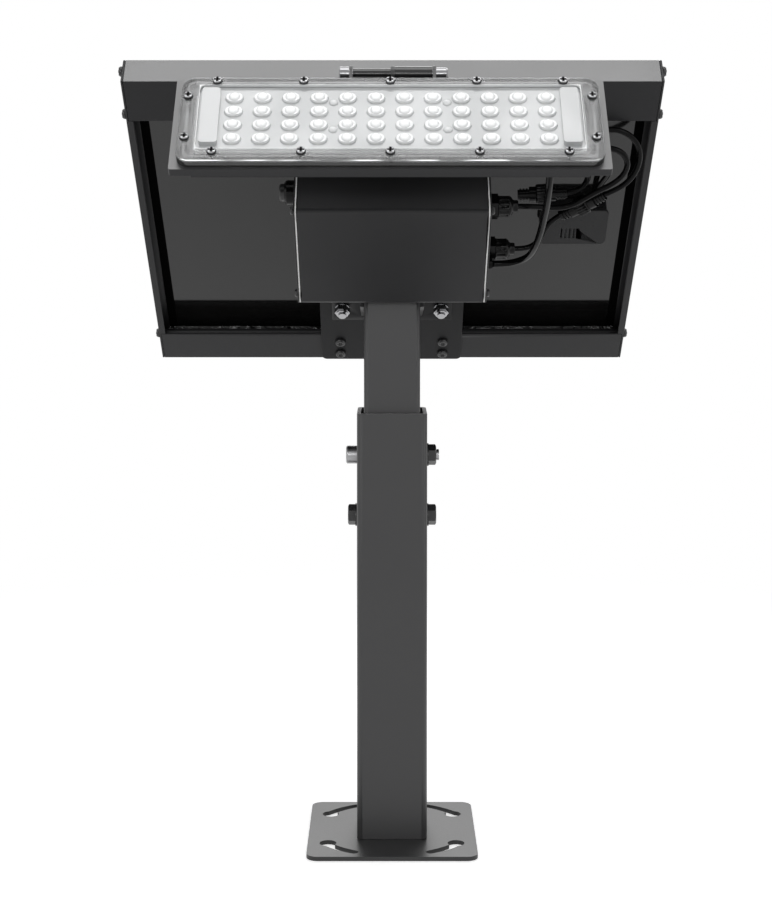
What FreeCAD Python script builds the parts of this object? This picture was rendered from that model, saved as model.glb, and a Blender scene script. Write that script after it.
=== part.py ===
"""Solar sign light on a telescopic square post.

Millimetres, +Z up. The origin is the centre of the base plate's underside, on the post's axis.
-Y is the side that the lamp and the back of the panel face, +X is to the right seen from there.
The panel, the battery box and the lamp are drawn in the head's own frame: x as in the part,
y down the slope of the panel, z square to the panel towards the sun, with z = 0 on the plane of
the panel frame's lips and the origin where that plane crosses the post's axis.
"""
import FreeCAD, Part
import math
import os
from FreeCAD import Placement, Rotation, Vector

os.makedirs("parts", exist_ok=True)

X_AXIS = Vector(1, 0, 0)
Y_AXIS = Vector(0, 1, 0)
Z_AXIS = Vector(0, 0, 1)

# Clearances
slide_gap = 0.3            # between bolts and the slots that slide past them
hole_gap = 0.2             # radial room round a bolt or screw in a plain hole
pivot_gap = 0.08           # radial room round the hinge bolt in the lamp's ears
button_gap = 0.25          # radial room round the push-button

# Base plate and outer post
plate_side = 120.0
plate_thick = 3.0
plate_corner_r = 8.0
keyhole_big_r = 55.5
keyhole_big_deg = 35.0
keyhole_narrow_deg = 62.0
keyhole_big_d = 12.0
keyhole_slot_w = 6.5
keyhole_slot_out = 1.4     # slot lies further out than its entry
post_side = 50.0
post_wall = 3.0
post_corner_r = 4.0
post_height = 305.0

# Inner post and its travel
inner_side = 40.0
inner_wall = 2.5
inner_corner_r = 3.0
inner_top_z = 402.0
inner_length = 300.0
travel_up = 100.0
travel_down = 30.0

# Post bolts
post_bolt_d = 8.0
upper_bolt_drop = 32.0      # from the post's top
lower_bolt_drop = 75.5
cap_head_d = 13.0
cap_head_h = 8.0
cap_socket_d = 6.9
cap_socket_deep = 4.0
m8_across = 13.0
m8_head_h = 5.3
m8_flange_d = 16.5
m8_flange_h = 1.4
m8_nut_h = 5.5
post_bolt_tip = 2.0

# Panel
panel_tilt = 42.0
head_z = 437.0
panel_w = 358.0
panel_l = 295.0
panel_depth = 21.0
rail_wall = 1.6
rail_cap = 1.0             # lip over the glass
rail_cap_w = 6.0
rail_lip = 1.5             # lip on the back
top_lip_w = 36.5
bottom_lip_w = 29.5
side_lip_w = 5.0
glass_thick = 2.0
cell_thick = 0.3
backsheet_thick = 0.5
cell_columns = 4
cell_rows = 9
cell_gap = 3.0
cell_margin = 14.0
channel_r = 3.2            # screw channels along the end rails
channel_bite = 0.8         # depth by which a screw channel sinks into its walls
frame_screw_d = 3.5
frame_screw_head_d = 7.0
frame_screw_head_h = 2.6
frame_screw_l = 14.0
bead_w = 12.0
bead_h = 5.0

# Junction box on the panel's back
junction_inset = 25.0      # from the panel's right side
junction_w = 46.0
junction_y0 = -17.0
junction_l = 34.0
junction_h = 11.0
junction_lid_h = 2.5
junction_corner_r = 3.0
junction_entry_in = 8.3    # lead's centre from the box's right side
junction_entry_drop = 5.3  # lead's centre below the back sheet
junction_entry_d = 7.0
junction_entry_l = 4.0
vent_count = 5
vent_pitch = 3.0
vent_w = 1.2
vent_l = 10.0
vent_deep = 1.0
vent_inset = 6.0
vent_start = 14.0          # first vent from the box's left side

# Spine plate, yoke and their fasteners
spine_w = 108.0
spine_l = 291.0
spine_thick = 3.0
spine_corner_r = 4.0
spine_screw_x = 39.4
spine_screw_pitch = 14.0
spine_screw_inset = 10.0
spine_screw_d = 4.0
spine_screw_tip = 2.0
dome_head_d = 8.0
dome_head_h = 2.8
yoke_thick = 3.0
yoke_w = 90.0
yoke_low_y = 93.5
yoke_top_y = 14.0
yoke_ear_z = 39.0          # reach of the ears from the flange
yoke_ear_tail = 5.0        # ears stop short of the flange's lower edge
ear_shoulder_y = 64.5
ear_shoulder_reach = 16.0
ear_knee_y = 42.5
ear_knee_reach = 32.0
ear_toe_y = 30.5
ear_chamfer = 3.0
m6_d = 6.0
m6_across = 10.0
m6_head_h = 4.0
m6_nut_h = 6.0
m6_washer_d = 11.0
m6_washer_h = 1.2
m6_tip = 1.5
clamp_x = 37.0
clamp_low_y = 78.5
clamp_top_y = 24.0
cross_bolt_z = 394.0
cross_bolt_y = 9.0

# Battery box
box_w = 132.0
box_l = 96.0
box_low_y = 7.7
box_h = 58.0
box_wall = 2.0
box_corner_r = 2.5
box_end_thick = 1.2
box_gasket = 0.9
box_gasket_w = 5.5
box_gasket_r = 6.0
box_channel_r = 4.2
box_screw_d = 3.0
box_screw_head_d = 5.6
box_screw_head_h = 2.2
box_screw_l = 10.0
box_mount_x = 40.0
box_mount_inset = 22.0
cell_d = 18.4
cell_l = 65.0
cell_count = 5
cell_layers = 2
cell_pitch = 19.0
holder_wall = 1.5
holder_h = 5.0
holder_notch_gap = 0.5     # round the box's screw channels
board_thick = 1.6
board_w = 112.0
board_h = 40.0
board_pillar_h = 4.0
board_pillar_d = 5.0
board_pillar_inset = 6.0
board_chip_h = 3.0
board_chips = [(-22, 0, 16, 16), (14, -6, 12, 12), (35, 8, 18, 12)]  # x, y, width, length from the middle

# Push-button on the left end of the box
button_inset = 15.3         # from the box's upper side
button_z = -30.0
bezel_d = 17.0
bezel_h = 7.0
bezel_barrel_d = 15.0
bezel_barrel_l = 12.0
button_d = 12.0
button_proud = 3.4
button_travel = 2.0
locknut_h = 3.0
locknut_across = 18.0

# Cable entries on the right end of the box
gland_z = -25.0
gland_upper_inset = 34.5    # from the box's upper side
gland_lower_inset = 17.4    # from the box's lower side
gland_across = 16.0
gland_hex_h = 6.5
gland_thread_d = 12.0
gland_thread_l = 5.5
gland_dome_d = 15.0
gland_dome_tip_d = 11.0
gland_dome_h = 14.0
gland_locknut_across = 16.0
grommet_inset = 20.7        # from the box's lower side
grommet_z = -42.0
grommet_d = 10.0
grommet_neck_d = 7.4
grommet_h = 4.0
grommet_lip = 1.2

# Leads and connectors
lead_d = 4.0
lamp_cable_d = 4.8
connector_d = 11.0
ring_d = 14.0
ring_l = 9.0
tail_d = 7.4
tail_l = 8.0
rib_d = 9.0
rib_w = 1.2
rib_step = 2.2
spare_reach = Vector(-34, 2.2, 0)

# Lamp
lamp_shift_x = -1.6
lamp_w = 273.0
lamp_h = 79.0
lamp_face_y = -167.5
lamp_mid_z = -59.5
lamp_rim = 5.7
lamp_corner_r = 1.5
pocket_deep = 3.0
fin_span = 48.0
fin_mid_z = -61.0
fin_count = 9
fin_thick = 1.8
fin_h = 16.0
fin_l = 250.0
pocket_w = 245.0
pocket_h = 52.0
pocket_r = 4.0
gasket_in = 0.4
gasket_w = 1.5
gasket_deep = 1.0
led_board_thick = 1.6
led_columns = 12
led_rows = 4
led_pitch_x = 17.9
led_pitch_z = 12.05
led_shift_z = 1.3          # of the chips on the board
led_size = 3.5
led_h = 0.8
cover_w = 264.0
cover_h = 74.0
cover_shift_z = -0.8       # of the cover's outline on the lamp
cover_r = 8.0
cover_flange = 5.4
cover_recess = 2.4
recess_w = 241.0
recess_low = 26.5          # below the lamp's middle
recess_top = 29.5          # above the lamp's middle
cover_skin = 1.2
lens_w = 12.0
lens_h = 9.0
lens_shoulder_in = 0.8
lens_shoulder_rise = 1.8
lens_dome_d = 7.2
lens_rise = 4.0
board_screw_head_d = 6.0
board_screw_head_h = 1.6
board_screw_bite = 2.0
board_screw_shift_z = 2.4  # towards the upper lenses
pip_d = 6.0
pip_rise = 1.8
hood_x = 113.0
hood_w = 11.5
hood_h = 48.5
hood_shift_z = 1.9
hood_rise = 3.7
wire_cover_w = 8.7
wire_cover_h = 45.5
lens_screw_pitch_x = 55.0
lens_screw_rows = (-29.6, 32.8)
lens_screw_end_x = 127.6
lens_screw_end_rows = (-17.3, 19.1)
lens_screw_d = 3.0
lens_screw_head_d = 6.2
lens_screw_head_h = 2.2
lens_screw_l = 10.0

# Lamp hinge
hinge_y = -160.6
hinge_z = -6.5
hinge_bolt_d = 5.8
hinge_head_d = 9.0
hinge_head_h = 6.5
hinge_nut_d = 8.0
hinge_nut_h = 7.5
ear_x = 26.0               # inner face of the lamp's ears
ear_thick = 2.0
ear_r = 5.2
ear_foot_h = 13.0
lug_thick = 2.5
bracket_screw_bite = 4.0   # reach of the bracket's screws into the lamp
lug_r = 5.0
lug_short = 6.0            # lug ends this far before the flange's end
hinge_flange_w = 50.0
hinge_flange_y0 = -143.0
hinge_flange_y1 = -117.0
hinge_flange_t = 2.5
hinge_screw_x = 16.0
bush_d = 6.6
spacer_d = 9.3

# Cable box on the back of the lamp
cable_box_x0 = 65.0
cable_box_w = 38.0
cable_box_z0 = -62.0
cable_box_h = 22.0
cable_box_deep = 17.0
cable_box_r = 3.0
cable_exit_in = 3.0        # lamp cable's centre from the side of its box
cable_exit_z = -74.0

# Derived places
post_top_z = plate_thick + post_height
upper_bolt_z = post_top_z - upper_bolt_drop
lower_bolt_z = post_top_z - lower_bolt_drop
keyhole_slot_r = keyhole_big_r + keyhole_slot_out
head = Placement(Vector(0, 0, head_z), Rotation(X_AXIS, -panel_tilt))
half_panel_w = panel_w / 2
half_panel_l = panel_l / 2
junction_x0 = half_panel_w - junction_inset - junction_w
junction_entry_x = junction_x0 + junction_w - junction_entry_in
laminate = glass_thick + cell_thick + backsheet_thick
laminate_z0 = panel_depth - rail_cap - laminate
shelf_z0 = laminate_z0 - rail_cap
junction_entry_z = laminate_z0 - junction_entry_drop
spine_face_z = -spine_thick
yoke_face_z = spine_face_z - yoke_thick
box_top_y = box_low_y - box_l
box_channel_inset = box_wall + box_channel_r - channel_bite
box_mid_y = box_low_y - box_l / 2
button_y = box_top_y + button_inset
gland_upper_y = box_top_y + gland_upper_inset
gland_lower_y = box_low_y - gland_lower_inset
grommet_y = box_low_y - grommet_inset
box_back_z = spine_face_z
box_front_z = box_back_z - box_h
box_mid_z = box_back_z - box_h / 2
battery_y0 = box_mid_y - cell_l / 2
box_body_half = box_w / 2 - box_end_thick - box_gasket
box_end_in = box_w / 2 - box_end_thick
box_end_out = box_w / 2
cable_exit_x = cable_box_x0 + cable_box_w - cable_exit_in
cable_exit_y = lamp_face_y + lamp_rim + cable_box_deep + slide_gap
gland_end_x = box_end_out + gland_hex_h + gland_dome_h
cover_face_y = lamp_face_y - cover_flange
window_y = cover_face_y + cover_recess
lamp_back_y = lamp_face_y + lamp_rim
cover_mid_z = lamp_mid_z + cover_shift_z
hood_mid_z = lamp_mid_z + hood_shift_z


def block(x0, x1, y0, y1, z0, z1):
    return Part.makeBox(x1 - x0, y1 - y0, z1 - z0, Vector(x0, y0, z0))


def rod(start, axis, d, length):
    return Part.makeCylinder(d / 2, length, start, axis)


def turned(profile, start, axis):
    """Solid of revolution from (height, radius) points, along an axis from a start point."""
    points = [Vector(r, 0, h) for h, r in profile]
    face = Part.Face(Part.makePolygon(points + [points[0]]))
    solid = face.revolve(Vector(0, 0, 0), Z_AXIS, 360)
    solid.Placement = Placement(start, Rotation(Z_AXIS, axis))
    return solid


def outline(points):
    vectors = [Vector(*p) for p in points]
    return Part.Face(Part.makePolygon(vectors + [vectors[0]]))


def prism_x(yz, x0, x1):
    """Prism along x of a (y, z) outline."""
    return outline([(x0, y, z) for y, z in yz]).extrude(Vector(x1 - x0, 0, 0))


def prism_y(xz, y0, y1):
    """Prism along y of an (x, z) outline."""
    return outline([(x, y0, z) for x, z in xz]).extrude(Vector(0, y1 - y0, 0))


def rounded(w, h, r, depth):
    """Plate w by h with round corners, centred on the origin, from z = 0 up to depth."""
    plate = Part.makeBox(w, h, depth, Vector(-w / 2, -h / 2, 0))
    edges = [e for e in plate.Edges if abs(e.tangentAt(e.FirstParameter).z) > 0.99]
    return plate.makeFillet(r, edges)


def rounded_x(w, h, r, depth, start):
    """Round-cornered plate with its width along y, height along z and depth along +x."""
    plate = rounded(w, h, r, depth)
    turn = Rotation(Vector(0, 1, 0), Vector(0, 0, 1), Vector(1, 0, 0), "ZXY")
    plate.Placement = Placement(start, turn)
    return plate


def rounded_y(w, h, r, depth, start):
    """Round-cornered plate with its width along x, height along z and depth along +y."""
    plate = rounded(w, h, r, depth)
    plate.Placement = Placement(start, Rotation(X_AXIS, -90))
    return plate


def hexagon(across, depth, start, axis):
    corners = [60 * i for i in range(6)]
    r = across / 2 / math.cos(math.radians(30))
    points = [Vector(r * math.cos(math.radians(a)), r * math.sin(math.radians(a)), 0) for a in corners]
    solid = Part.Face(Part.makePolygon(points + [points[0]])).extrude(Vector(0, 0, depth))
    solid.Placement = Placement(start, Rotation(Z_AXIS, axis))
    return solid


def hex_head(across, depth, start, axis):
    """Hexagon with the corners of its outer end turned off."""
    corner_r = across / 2 / math.cos(math.radians(30))
    end_r = 0.95 * across / 2
    turned_h = (corner_r - end_r) * math.tan(math.radians(30))
    blank = turned([(0, 0), (0, corner_r), (depth - turned_h, corner_r), (depth, end_r), (depth, 0)],
                   start, axis)
    return hexagon(across, depth, start, axis).common(blank)


def dome_screw(start, axis, d, head_d, head_h, length):
    """Screw with a low domed head: start is on the seat, axis points out of the head."""
    r = head_d / 2
    head_profile = [(0, 0), (0, r), (0.45 * head_h, r), (0.85 * head_h, 0.66 * r),
                    (head_h, 0.3 * r), (head_h, 0)]
    head_solid = turned(head_profile, start, axis)
    return head_solid.fuse(rod(start, -axis, d, length))


def hex_bolt(start, axis, d, across, head_h, length):
    """Hexagon bolt: start is on the seat, axis points out of the head."""
    return hex_head(across, head_h, start, axis).fuse(rod(start, -axis, d, length))


def nut(start, axis, across, depth, bore_d):
    """Hexagon nut on a seat at start, with its bore for the thread."""
    return hex_head(across, depth, start, axis).cut(rod(start - axis, axis, bore_d, depth + 2))


def locking_nut(start, axis, across, depth, bore_d):
    """Nut with a hexagon foot and a round collar that holds the locking ring."""
    foot = 0.72 * depth
    collar_r = 0.44 * across
    collar_profile = [(foot, 0), (foot, collar_r), (0.94 * depth, collar_r),
                      (depth, 0.88 * collar_r), (depth, 0)]
    collar = turned(collar_profile, start, axis)
    solid = hexagon(across, foot, start, axis).fuse(collar)
    return solid.cut(rod(start - axis, axis, bore_d, depth + 2))


def washer(start, axis, d, bore_d, depth):
    return rod(start, axis, d, depth).cut(rod(start - axis, axis, bore_d, depth + 2))


def cut_all(solid, tools):
    for tool in tools:
        solid = solid.cut(tool)
    return solid


def fuse_all(solids):
    result = solids[0]
    for solid in solids[1:]:
        result = result.fuse(solid)
    return result.removeSplitter()


def save(name, *solids):
    shape = solids[0] if len(solids) == 1 else Part.makeCompound(list(solids))
    shape.exportStep("parts/" + name + ".step")


def save_head(name, *solids):
    """Write pieces drawn in the head's frame at their place in the part."""
    placed = []
    for solid in solids:
        copy = solid.copy()
        copy.Placement = head.multiply(copy.Placement)
        placed.append(copy)
    save(name, *placed)


def to_head(point):
    """A point of the part in the head's frame."""
    return head.inverse().multVec(point)


def head_axis(axis):
    return head.Rotation.inverted().multVec(axis)


def square_tube(side, wall, corner_r, z0, z1):
    outer = rounded(side, side, corner_r, z1 - z0)
    inner_r = max(corner_r - wall, 0.6)
    inner = rounded(side - 2 * wall, side - 2 * wall, inner_r, z1 - z0)
    tube = outer.cut(inner)
    tube.translate(Vector(0, 0, z0))
    return tube


def cable(name, points, d):
    """Round tube on straight runs joined by tangent arcs; prints the tightest bend and its volume."""
    vectors = [Vector(*p) for p in points]
    edges = []
    radii = []
    start = vectors[0]
    for before, corner, after in zip(vectors, vectors[1:], vectors[2:]):
        run_in = corner - before
        run_out = after - corner
        turn = run_in.getAngle(run_out)
        reach = 0.45 * min(run_in.Length, run_out.Length)
        radius = reach / math.tan(turn / 2)
        u_in = Vector(run_in).normalize()
        u_out = Vector(run_out).normalize()
        arc_start = corner - u_in * reach
        arc_end = corner + u_out * reach
        inward = (u_out - u_in).normalize()
        middle = corner + inward * (radius / math.cos(turn / 2) - radius)
        edges.append(Part.LineSegment(start, arc_start).toShape())
        edges.append(Part.Arc(arc_start, middle, arc_end).toShape())
        radii.append(radius)
        start = arc_end
    edges.append(Part.LineSegment(start, vectors[-1]).toShape())
    path = Part.Wire(edges)
    first = (vectors[1] - vectors[0]).normalize()
    ring = Part.Wire([Part.makeCircle(d / 2, vectors[0], first)])
    tube = path.makePipeShell([ring], True, False)
    share = tube.Volume / (path.Length * math.pi * d * d / 4)
    print(name, "length", round(path.Length, 1), "tightest bend", round(min(radii), 1),
          "volume", round(share, 4))
    return tube


# Base plate with four keyhole slots on a ring round the post
def keyhole(start_deg, big_first):
    """Curved slot with a round entry; the slot lies nearer the outer side of its entry."""
    sweep = keyhole_narrow_deg - keyhole_big_deg
    outer_r = keyhole_slot_r + keyhole_slot_w / 2
    inner_r = keyhole_slot_r - keyhole_slot_w / 2
    sector = Part.makeCylinder(outer_r, plate_thick, Vector(0, 0, 0), Z_AXIS, sweep)
    slot = sector.cut(Part.makeCylinder(inner_r, plate_thick))
    slot.rotate(Vector(0, 0, 0), Z_AXIS, start_deg)
    ends = [start_deg, start_deg + sweep]
    big_deg, narrow_deg = ends if big_first else ends[::-1]
    cuts = [slot]
    for deg, r, d in ((big_deg, keyhole_big_r, keyhole_big_d), (narrow_deg, keyhole_slot_r, keyhole_slot_w)):
        angle = math.radians(deg)
        at = Vector(r * math.cos(angle), r * math.sin(angle), 0)
        cuts.append(rod(at, Z_AXIS, d, plate_thick))
    return fuse_all(cuts)


def base_plate():
    plate = rounded(plate_side, plate_side, plate_corner_r, plate_thick)
    starts = [(keyhole_big_deg, True), (180 - keyhole_narrow_deg, False),
              (180 + keyhole_big_deg, True), (360 - keyhole_narrow_deg, False)]
    return cut_all(plate, [keyhole(deg, big_first) for deg, big_first in starts])


# Telescopic post and the two bolts that clamp it
def outer_post():
    tube = square_tube(post_side, post_wall, post_corner_r, plate_thick, post_top_z)
    bores = [rod(Vector(-post_side, 0, z), X_AXIS, post_bolt_d + 2 * hole_gap, 2 * post_side)
             for z in (upper_bolt_z, lower_bolt_z)]
    return cut_all(tube, bores)


def post_slot():
    """Slot in both side walls of the inner post: its ends stop the post on the bolts."""
    width = post_bolt_d + 2 * slide_gap
    low = lower_bolt_z - travel_up
    high = upper_bolt_z + travel_down
    middle = block(-inner_side, inner_side, -width / 2, width / 2, low, high)
    ends = [rod(Vector(-inner_side, 0, z), X_AXIS, width, 2 * inner_side) for z in (low, high)]
    return fuse_all([middle] + ends)


def cross_bolt_places():
    return [Vector(0, side * cross_bolt_y, cross_bolt_z) for side in (-1, 1)]


def inner_post():
    tube = square_tube(inner_side, inner_wall, inner_corner_r, inner_top_z - inner_length, inner_top_z)
    tube = tube.cut(post_slot())
    bores = [rod(at - X_AXIS * inner_side, X_AXIS, m6_d + 2 * hole_gap, 2 * inner_side)
             for at in cross_bolt_places()]
    return cut_all(tube, bores)


def upper_post_bolt():
    seat = Vector(-post_side / 2, 0, upper_bolt_z)
    r = cap_head_d / 2
    head_profile = [(0, 0), (0, r), (cap_head_h - 0.8, r), (cap_head_h, r - 0.8), (cap_head_h, 0)]
    cap = turned(head_profile, seat, -X_AXIS)
    socket = hexagon(cap_socket_d, cap_socket_deep, seat - X_AXIS * (cap_head_h - cap_socket_deep), -X_AXIS)
    length = post_side + m8_flange_h + m8_nut_h + post_bolt_tip
    return cap.cut(socket).fuse(rod(seat, X_AXIS, post_bolt_d, length))


def lower_post_bolt():
    seat = Vector(-post_side / 2, 0, lower_bolt_z)
    flange = rod(seat, -X_AXIS, m8_flange_d, m8_flange_h)
    hexagon_head = hex_head(m8_across, m8_head_h, seat - X_AXIS * m8_flange_h, -X_AXIS)
    length = post_side + m8_flange_h + m8_nut_h
    return fuse_all([flange, hexagon_head, rod(seat, X_AXIS, post_bolt_d, length)])


def post_nuts():
    bore_d = post_bolt_d + 0.1
    nuts = []
    for z in (upper_bolt_z, lower_bolt_z):
        seat = Vector(post_side / 2, 0, z)
        flange = washer(seat, X_AXIS, m8_flange_d, bore_d, m8_flange_h)
        nuts.append(nut(seat + X_AXIS * m8_flange_h, X_AXIS, m8_across, m8_nut_h, bore_d).fuse(flange))
    return nuts


# Panel frame: two end rails between two side rails, each with a cap over the glass and a lip behind
def end_rail_channels(lip_w):
    """Centres of an end rail's screw channels, as (inset from the end of the panel, z)."""
    under_shelf = (rail_wall + channel_r - channel_bite, shelf_z0 - channel_r + channel_bite)
    on_lip = (lip_w - channel_r, rail_lip + channel_r - channel_bite)
    return under_shelf, on_lip


def end_rail(sign, lip_w, channels):
    """Rail across the panel's upper (sign -1) or lower (sign 1) end."""
    half = half_panel_w - rail_wall
    end = half_panel_l

    def slab(inset0, inset1, z0, z1):
        low, high = sorted((sign * (end - inset0), sign * (end - inset1)))
        return block(-half, half, low, high, z0, z1)

    pieces = [slab(0, rail_wall, 0, panel_depth),
              slab(0, rail_cap_w, panel_depth - rail_cap, panel_depth),
              slab(0, rail_cap_w, shelf_z0, laminate_z0),
              slab(0, lip_w, 0, rail_lip)]
    bores = []
    for inset, z in channels:
        start = Vector(-half, sign * (end - inset), z)
        pieces.append(rod(start, X_AXIS, 2 * channel_r, 2 * half))
        bores.append(rod(start, X_AXIS, frame_screw_d + 0.1, 2 * half))
    return cut_all(fuse_all(pieces), bores)


def side_rail(sign):
    """Rail along the panel's left (sign -1) or right (sign 1) side, notched round the end rails."""
    edge = half_panel_w
    ends = half_panel_l

    def slab(inset1, y0, y1, z0, z1):
        low, high = sorted((sign * edge, sign * (edge - inset1)))
        return block(low, high, y0, y1, z0, z1)

    cap_y = ends - rail_cap_w
    pieces = [slab(rail_wall, -ends, ends, 0, panel_depth),
              slab(rail_cap_w, -cap_y, cap_y, panel_depth - rail_cap, panel_depth),
              slab(rail_cap_w, -cap_y, cap_y, shelf_z0, laminate_z0),
              slab(side_lip_w, top_lip_w - ends, ends - bottom_lip_w, 0, rail_lip)]
    bores = [rod(Vector(sign * (edge + 1), y, z), -X_AXIS * sign, frame_screw_d + 2 * hole_gap, rail_wall + 2)
             for y, z in frame_screw_places()]
    return cut_all(fuse_all(pieces), bores)


def frame_screw_places():
    upper = [(inset - half_panel_l, z) for inset, z in end_rail_channels(top_lip_w)]
    lower = end_rail_channels(bottom_lip_w)[1]
    return upper + [(half_panel_l - lower[0], lower[1])]


def frame_screws():
    screws = []
    for sign in (-1, 1):
        for y, z in frame_screw_places():
            seat = Vector(sign * half_panel_w, y, z)
            screws.append(dome_screw(seat, X_AXIS * sign, frame_screw_d, frame_screw_head_d,
                                     frame_screw_head_h, frame_screw_l))
    return screws


def laminate_layer(z0, thick):
    half_x = half_panel_w - rail_wall
    half_y = half_panel_l - rail_wall
    return block(-half_x, half_x, -half_y, half_y, z0, z0 + thick)


def solar_cells():
    z0 = laminate_z0 + backsheet_thick
    span_x = panel_w - 2 * cell_margin
    span_y = panel_l - 2 * cell_margin
    cell_w = (span_x - (cell_columns - 1) * cell_gap) / cell_columns
    cell_h = (span_y - (cell_rows - 1) * cell_gap) / cell_rows
    cells = []
    for column in range(cell_columns):
        for row in range(cell_rows):
            x = -span_x / 2 + column * (cell_w + cell_gap)
            y = -span_y / 2 + row * (cell_h + cell_gap)
            cells.append(block(x, x + cell_w, y, y + cell_h, z0, z0 + cell_thick))
    return cells


def sealant_bead():
    """Bead of sealant between the back sheet and the shelf of the lower rail."""
    half = half_panel_w - rail_cap_w
    y1 = half_panel_l - rail_cap_w
    y0 = y1 - bead_w
    z1 = laminate_z0
    profile = [(y0, z1), (y0 + 0.15 * bead_w, z1 - 0.55 * bead_h), (y0 + 0.5 * bead_w, z1 - 0.9 * bead_h),
               (y0 + 0.8 * bead_w, z1 - bead_h), (y1, z1 - bead_h), (y1, z1)]
    return prism_x(profile, -half, half)


# Junction box on the back sheet
def junction_box():
    z1 = laminate_z0
    mid = Vector(junction_x0 + junction_w / 2, junction_y0 + junction_l / 2, z1 - junction_h)
    tub = rounded(junction_w, junction_l, junction_corner_r, junction_h)
    tub.translate(mid)
    entry = Vector(junction_entry_x, junction_y0 + junction_corner_r, junction_entry_z)
    boss = rod(entry, -Y_AXIS, junction_entry_d, junction_corner_r + junction_entry_l)
    return fuse_all([tub, boss])


def junction_lid():
    z0 = laminate_z0 - junction_h - junction_lid_h
    mid = Vector(junction_x0 + junction_w / 2, junction_y0 + junction_l / 2, z0)
    lid = rounded(junction_w + 2, junction_l + 2, junction_corner_r + 1, junction_lid_h)
    lid.translate(mid)
    first_x = junction_x0 + vent_start
    y0 = junction_y0 + junction_l - vent_inset - vent_l
    starts = [first_x + i * vent_pitch for i in range(vent_count)]
    return cut_all(lid, [block(x, x + vent_w, y0, y0 + vent_l, z0, z0 + vent_deep) for x in starts])


# Spine plate along the back of the panel, and the yoke that clasps the inner post
def spine_screw_places():
    last = half_panel_l - spine_screw_inset
    rows = [last, last - spine_screw_pitch]
    return [Vector(sx * spine_screw_x, sy * y, spine_face_z)
            for sx in (-1, 1) for sy in (-1, 1) for y in rows]


def clamp_places():
    return [Vector(sx * clamp_x, y, yoke_face_z) for sx in (-1, 1) for y in (clamp_top_y, clamp_low_y)]


def box_mount_places():
    rows = (box_top_y + box_mount_inset, box_low_y - box_mount_inset)
    return [Vector(sx * box_mount_x, y, 0) for sx in (-1, 1) for y in rows]


def hinge_screw_places():
    y = (hinge_flange_y0 + hinge_flange_y1) / 2
    return [Vector(sx * hinge_screw_x, y, spine_face_z - hinge_flange_t) for sx in (-1, 1)]


def spine_plate():
    plate = rounded(spine_w, spine_l, spine_corner_r, spine_thick)
    plate.translate(Vector(0, 0, spine_face_z))
    bores = [(p, spine_screw_d) for p in spine_screw_places() + box_mount_places() + hinge_screw_places()]
    bores += [(p, m6_d) for p in clamp_places()]
    tools = [rod(Vector(p.x, p.y, -2 * spine_thick), Z_AXIS, d + 2 * hole_gap, 4 * spine_thick)
             for p, d in bores]
    return cut_all(plate, tools)


def lip_bores(places):
    """Holes for the spine's screws through an end rail's lip."""
    d = spine_screw_d + 2 * hole_gap
    return [rod(Vector(p.x, p.y, -1), Z_AXIS, d, 1 + rail_lip + spine_screw_tip + hole_gap) for p in places]


def yoke_bracket():
    face = yoke_face_z
    flange = block(-yoke_w / 2, yoke_w / 2, yoke_top_y, yoke_low_y, face, spine_face_z)
    reach = face - yoke_ear_z
    ear_outline = [(yoke_top_y, face), (yoke_low_y - yoke_ear_tail, face),
                   (ear_shoulder_y, face - ear_shoulder_reach),
                   (ear_knee_y, face - ear_knee_reach), (ear_toe_y, reach),
                   (yoke_top_y + ear_chamfer, reach), (yoke_top_y, reach + ear_chamfer)]
    ears = [prism_x(ear_outline, inner_side / 2, inner_side / 2 + yoke_thick),
            prism_x(ear_outline, -inner_side / 2 - yoke_thick, -inner_side / 2)]
    bores = [rod(Vector(p.x, p.y, 2 * face), Z_AXIS, m6_d + 2 * hole_gap, -4 * face) for p in clamp_places()]
    for at in cross_bolt_places():
        bores.append(rod(to_head(at) - X_AXIS * yoke_w, X_AXIS, m6_d + 2 * hole_gap, 2 * yoke_w))
    return cut_all(fuse_all([flange] + ears), bores)


def yoke_bolts():
    bolts = []
    grip = spine_thick + yoke_thick + m6_washer_h + m6_nut_h + m6_tip
    for p in clamp_places():
        bolts.append(hex_bolt(Vector(p.x, p.y, 0), Z_AXIS, m6_d, m6_across, m6_head_h, grip))
    outer = inner_side / 2 + yoke_thick
    for at in cross_bolt_places():
        seat = to_head(at) - X_AXIS * outer
        bolts.append(hex_bolt(seat, -X_AXIS, m6_d, m6_across, m6_head_h, 2 * outer + m6_nut_h + m6_tip))
    return bolts


def yoke_nuts():
    bore_d = m6_d + 0.1
    nuts = [locking_nut(p - Z_AXIS * m6_washer_h, -Z_AXIS, m6_across, m6_nut_h, bore_d)
            for p in clamp_places()]
    outer = inner_side / 2 + yoke_thick
    for at in cross_bolt_places():
        nuts.append(locking_nut(to_head(at) + X_AXIS * outer, X_AXIS, m6_across, m6_nut_h, bore_d))
    return nuts


def yoke_washers():
    return [washer(p, -Z_AXIS, m6_washer_d, m6_d + 2 * hole_gap, m6_washer_h) for p in clamp_places()]


def spine_screws():
    screws = [dome_screw(p, -Z_AXIS, spine_screw_d, dome_head_d, dome_head_h,
                         spine_thick + rail_lip + spine_screw_tip)
              for p in spine_screw_places()]
    screws += [dome_screw(p, -Z_AXIS, spine_screw_d, dome_head_d, dome_head_h,
                          hinge_flange_t + spine_thick + spine_screw_tip)
               for p in hinge_screw_places()]
    screws += [dome_screw(p, Z_AXIS, spine_screw_d, dome_head_d, dome_head_h, spine_thick + box_wall + 3)
               for p in box_mount_places()]
    return screws


# Battery box: an extruded sleeve with screw channels, closed by two gasketed end plates
def box_section(half, inset, corner_r):
    start = Vector(-half, box_mid_y, box_mid_z)
    return rounded_x(box_l - 2 * inset, box_h - 2 * inset, corner_r, 2 * half, start)


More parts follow.
